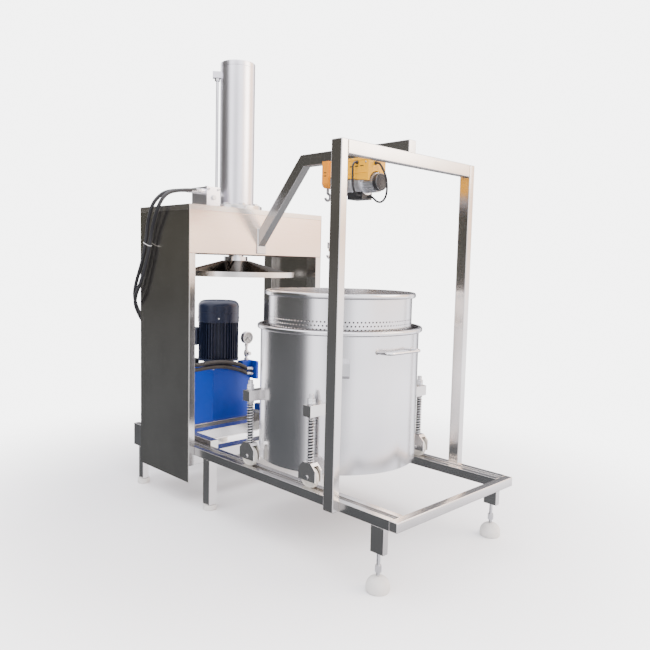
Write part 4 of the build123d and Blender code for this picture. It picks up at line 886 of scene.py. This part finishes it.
for k in range(5):
    angle = math.radians(scale_start - scale_turn * k / 4)
    words = bpy.data.curves.new("figure", "FONT")
    words.body = str(100 * k)
    words.size = 0.0085
    words.align_x = "CENTER"
    words.align_y = "CENTER"
    figure = bpy.data.objects.new("figure", words)
    figure_mesh = bpy.data.meshes.new_from_object(figure)
    spot = Vector((gauge_x, gauge_dial - 0.0007, gauge_z))
    spot += figure_radius * Vector((math.cos(angle), 0, math.sin(angle)))
    figure_mesh.transform(Matrix.Translation(spot) @ Matrix.Rotation(math.pi / 2, 4, "X"))
    scale.from_mesh(figure_mesh)
    bpy.data.objects.remove(figure)
    bpy.data.curves.remove(words)
    bpy.data.meshes.remove(figure_mesh)
scale_mesh = bpy.data.meshes.new("gauge_scale")
scale.to_mesh(scale_mesh)
scale.free()
piece("gauge_scale", scale_mesh, "frame", black_plastic)
pane = bmesh.new()
lens = [(0, 0.0), (0.03, 0.0002), (dial_radius, 0.0012), (dial_radius, 0.0026), (0, 0.0022)]
lathe(pane, lens, (gauge_x, gauge_front + 0.0005, gauge_z), (0, 1, 0), 48)
made("gauge_pane", pane, "frame", glass)
valve = bmesh.new()
stem = (gauge_x, gauge_dial + 0.009, 0)
hexagon = [(0.009, 0.636), (0.0155, 0.636), (0.017, 0.638), (0.017, 0.650), (0.0155, 0.652), (0.009, 0.652)]
lathe(valve, hexagon, stem, steps=6)
turned = [(0.009, 0.662), (0.013, 0.664), (0.0165, 0.674), (0.0175, 0.686), (0.0165, 0.698)]
turned += [(0.013, 0.708), (0.009, 0.710)]
lathe(valve, turned, stem, steps=32)
hexagon = [(0.009, 0.734), (0.0125, 0.734), (0.014, 0.736), (0.014, 0.748), (0.0125, 0.750), (0.009, 0.750)]
lathe(valve, hexagon, stem, steps=6)
knob = [(0.0075, 0.012), (0.0075, 0.026), (0.0125, 0.028), (0.0135, 0.030), (0.0135, 0.040)]
knob += [(0.0125, 0.042), (0, 0.042)]
lathe(valve, knob, (stem[0], stem[1], 0.686), (0, -1, 0), 16)
made("gauge_valve", valve, "frame", satin_steel)

# Weld beads where tubes and plates meet
beads = bmesh.new()


def weld(shape, start, end, size=0.0024):
    """Adds a rippled weld bead between two points to a shape."""
    start = Vector(start)
    count = max(4, int((Vector(end) - start).length / 0.004))
    points = [start.lerp(Vector(end), k / count) for k in range(count + 1)]
    sweep(shape, points, lambda k: size * (1 + 0.18 * math.sin(2.1 * k)), 6)


for side in (-1, 1):
    x = side * (gantry_inner + 0.0005)
    for y in (gantry_front, gantry_rear):
        weld(beads, (x, y, 0.276), (x, y, 0.316))
    x = side * (gantry_inner + 0.001)
    weld(beads, (x, gantry_front + 0.002, 0.3175), (x, gantry_rear - 0.002, 0.3175))
    x = side * (gantry_inner - 0.0005)
    for y in (gantry_front + 0.001, -0.849):
        weld(beads, (x, y, beam_low + 0.003), (x, y, beam_top - 0.003))
    weld(beads, (x, gantry_front + 0.002, beam_low - 0.0005), (x, -0.850, beam_low - 0.0005))
    weld(beads, (side * 0.0255, -0.866, beam_top + 0.0002), (side * 0.0255, -0.850, beam_top + 0.0002))
collar = [(0.0995, 1.657), (0.1015, 1.6555), (0.1045, 1.6515), (0.106, 1.6488)]
lathe(beads, collar, (0, cylinder_y, 0), steps=96)
made("weld_beads", beads, "frame", weld_steel)
barrel_beads = bmesh.new()
for turn in lug_turns:
    for side in (-1, 1):
        angle = math.radians(turn) + side * math.asin(0.0305 / barrel_radius)
        foot = (barrel_radius * math.cos(angle), barrel_y + barrel_radius * math.sin(angle))
        weld(barrel_beads, (*foot, lug_low + 0.001), (*foot, lug_high - 0.001), 0.002)
fillet = [(0.0105, -0.002), (0.0095, 0.0015), (0.0068, 0.0035)]
for x in handle_ends:
    y = barrel_y - math.sqrt(barrel_radius**2 - x**2)
    lathe(barrel_beads, fillet, (x, y, handle_z), (x / 3, y - barrel_y, 0), 24)
made("barrel_welds", barrel_beads, "barrel", weld_steel)

# Levelling feet, domed and with a rim that stands on the floor
foot_low, foot_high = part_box("bell_feet")
foot_y = (foot_low.y + foot_high.y) / 2
foot_radius = 0.050
dome = [(0, 0.0006), (0.046, 0.0006), (0.049, 0.004), (foot_radius, 0.012), (0.0495, 0.026), (0.047, 0.037)]
dome += [(0.042, 0.047), (0.034, 0.0555), (0.026, 0.0605), (0.020, 0.0632), (0.0175, 0.0639), (0, 0.0639)]
domes = bmesh.new()
for x in (foot_low.x + foot_radius, foot_high.x - foot_radius):
    lathe(domes, dome, (x, foot_y, 0), steps=48)
feet = made("bell_feet_domed", domes, "frame", white_plastic)
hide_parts("bell_feet")

# Floor, soft light and camera
floor = bpy.data.objects.new("floor", bpy.data.meshes.new("floor"))
bpy.context.scene.collection.objects.link(floor)
floor_reach = 6.0
floor_whole = 1.0
floor_gone = 2.9
floor_shape = bmesh.new()
lathe(floor_shape, [(0, 0), (floor_reach, 0)], (0, 0, 0), steps=96)
floor_shape.to_mesh(floor.data)
floor_shape.free()
floor_material, floor_tree, floor_shader = shader("pale_floor", Roughness=0.85)
floor_tone = ramp(floor_tree, noise(floor_tree, 0.7), [(0.3, (0.9, 0.9, 0.9)), (0.7, (0.93, 0.93, 0.93))])
floor_tree.links.new(floor_tone, floor_shader.inputs["Base Color"])
floor_coords = floor_tree.nodes.new("ShaderNodeTexCoord")
floor_distance = floor_tree.nodes.new("ShaderNodeVectorMath")
floor_distance.operation = "LENGTH"
floor_fade = floor_tree.nodes.new("ShaderNodeMapRange")
floor_fade.interpolation_type = "SMOOTHSTEP"
floor_fade.inputs["From Min"].default_value = floor_whole
floor_fade.inputs["From Max"].default_value = floor_gone
floor_fade.inputs["To Min"].default_value = 1.0
floor_fade.inputs["To Max"].default_value = 0.0
floor_tree.links.new(floor_coords.outputs["Object"], floor_distance.inputs[0])
floor_tree.links.new(floor_distance.outputs["Value"], floor_fade.inputs["Value"])
floor_tree.links.new(floor_fade.outputs["Result"], floor_shader.inputs["Alpha"])
floor.data.materials.append(floor_material)
floor.visible_glossy = False

world = bpy.context.scene.world or bpy.data.worlds.new("studio")
bpy.context.scene.world = world
world.use_nodes = True
studio = world.node_tree
backdrop = studio.nodes["Background"]
backdrop.inputs["Strength"].default_value = 2.2


def toward(direction, low, high):
    """How far a direction of the studio lies toward a given one, from 0 to 1."""
    coords = studio.nodes.new("ShaderNodeTexCoord")
    product = studio.nodes.new("ShaderNodeVectorMath")
    product.operation = "DOT_PRODUCT"
    product.inputs[1].default_value = Vector(direction).normalized()
    steps = studio.nodes.new("ShaderNodeMapRange")
    steps.interpolation_type = "SMOOTHSTEP"
    steps.inputs["From Min"].default_value = low
    steps.inputs["From Max"].default_value = high
    studio.links.new(coords.outputs["Generated"], product.inputs[0])
    studio.links.new(product.outputs["Value"], steps.inputs["Value"])
    return steps.outputs["Result"]


def mixed(first, second, share):
    """Two colours of the studio mixed by a share."""
    node = studio.nodes.new("ShaderNodeMix")
    node.data_type = "RGBA"
    for socket, colour in ((node.inputs["A"], first), (node.inputs["B"], second)):
        if isinstance(colour, tuple):
            socket.default_value = (*colour, 1.0)
        else:
            studio.links.new(colour, socket)
    studio.links.new(share, node.inputs["Factor"])
    return node.outputs["Result"]


def both(first, second):
    """Two shares multiplied."""
    node = studio.nodes.new("ShaderNodeMath")
    node.operation = "MULTIPLY"
    studio.links.new(first, node.inputs[0])
    studio.links.new(second, node.inputs[1])
    return node.outputs["Value"]


above = toward((0, 0, 1), -0.07, 0.03)
room = mixed((1.5, 1.47, 1.55), (1.7, 1.2, 0.88), both(toward((0.7, -0.7, 0.1), 0.6, 0.9), above))
room = mixed(room, (0.62, 0.62, 0.65), toward((-0.72, -0.68, 0), 0.9, 0.99))
room = mixed(room, (0.11, 0.11, 0.118), toward((0.72, 0.68, 0.1), 0.74, 0.9))
room = mixed(room, (0.6, 0.58, 0.62), toward((0, 0, -1), 0.2, 0.4))
room = mixed(room, (0.2, 0.2, 0.21), toward((0, 0, -1), 0.45, 0.75))
shade = mixed((0.075, 0.078, 0.083), (0.058, 0.055, 0.048), toward((0, 0, 1), -0.2, 0.05))
room = mixed(room, shade, toward((-0.75, 0.66, -0.1), 0.68, 0.8))
seen = studio.nodes.new("ShaderNodeLightPath")
room = mixed(room, (2.6, 2.6, 2.6), seen.outputs["Is Camera Ray"])
studio.links.new(room, backdrop.inputs["Color"])


def soft_light(name, place, target, size, power, colour):
    """A large soft lamp aimed at a point."""
    lamp = bpy.data.lights.new(name, "AREA")
    lamp.shape = "RECTANGLE"
    lamp.size = size[0]
    lamp.size_y = size[1]
    lamp.energy = power
    lamp.color = colour
    thing = bpy.data.objects.new(name, lamp)
    bpy.context.scene.collection.objects.link(thing)
    thing.location = place
    thing.rotation_euler = (Vector(target) - Vector(place)).to_track_quat("-Z", "Y").to_euler()


soft_light("key", (2.6, -4.2, 3.4), (0, -0.3, 1.0), (3.0, 2.4), 170, (1.0, 0.97, 0.93))
soft_light("top", (0.0, -0.4, 4.6), (0, -0.2, 0.8), (3.2, 3.2), 90, (1.0, 1.0, 1.0))

heading = math.radians(camera_heading)
dip = math.radians(camera_dip)
roll = math.radians(camera_roll)
forward = Vector((math.sin(heading) * math.cos(dip), math.cos(heading) * math.cos(dip), -math.sin(dip)))
level_right = Vector((math.cos(heading), -math.sin(heading), 0))
level_up = level_right.cross(forward)
right = level_right * math.cos(roll) + level_up * math.sin(roll)
up = right.cross(forward)
camera = bpy.data.objects.new("camera", bpy.data.cameras.new("camera"))
camera.data.lens = camera_lens
camera.data.sensor_width = 36.0
camera.matrix_world = Matrix.Translation(camera_place) @ Matrix((right, up, -forward)).transposed().to_4x4()
bpy.context.scene.collection.objects.link(camera)
bpy.context.scene.camera = camera
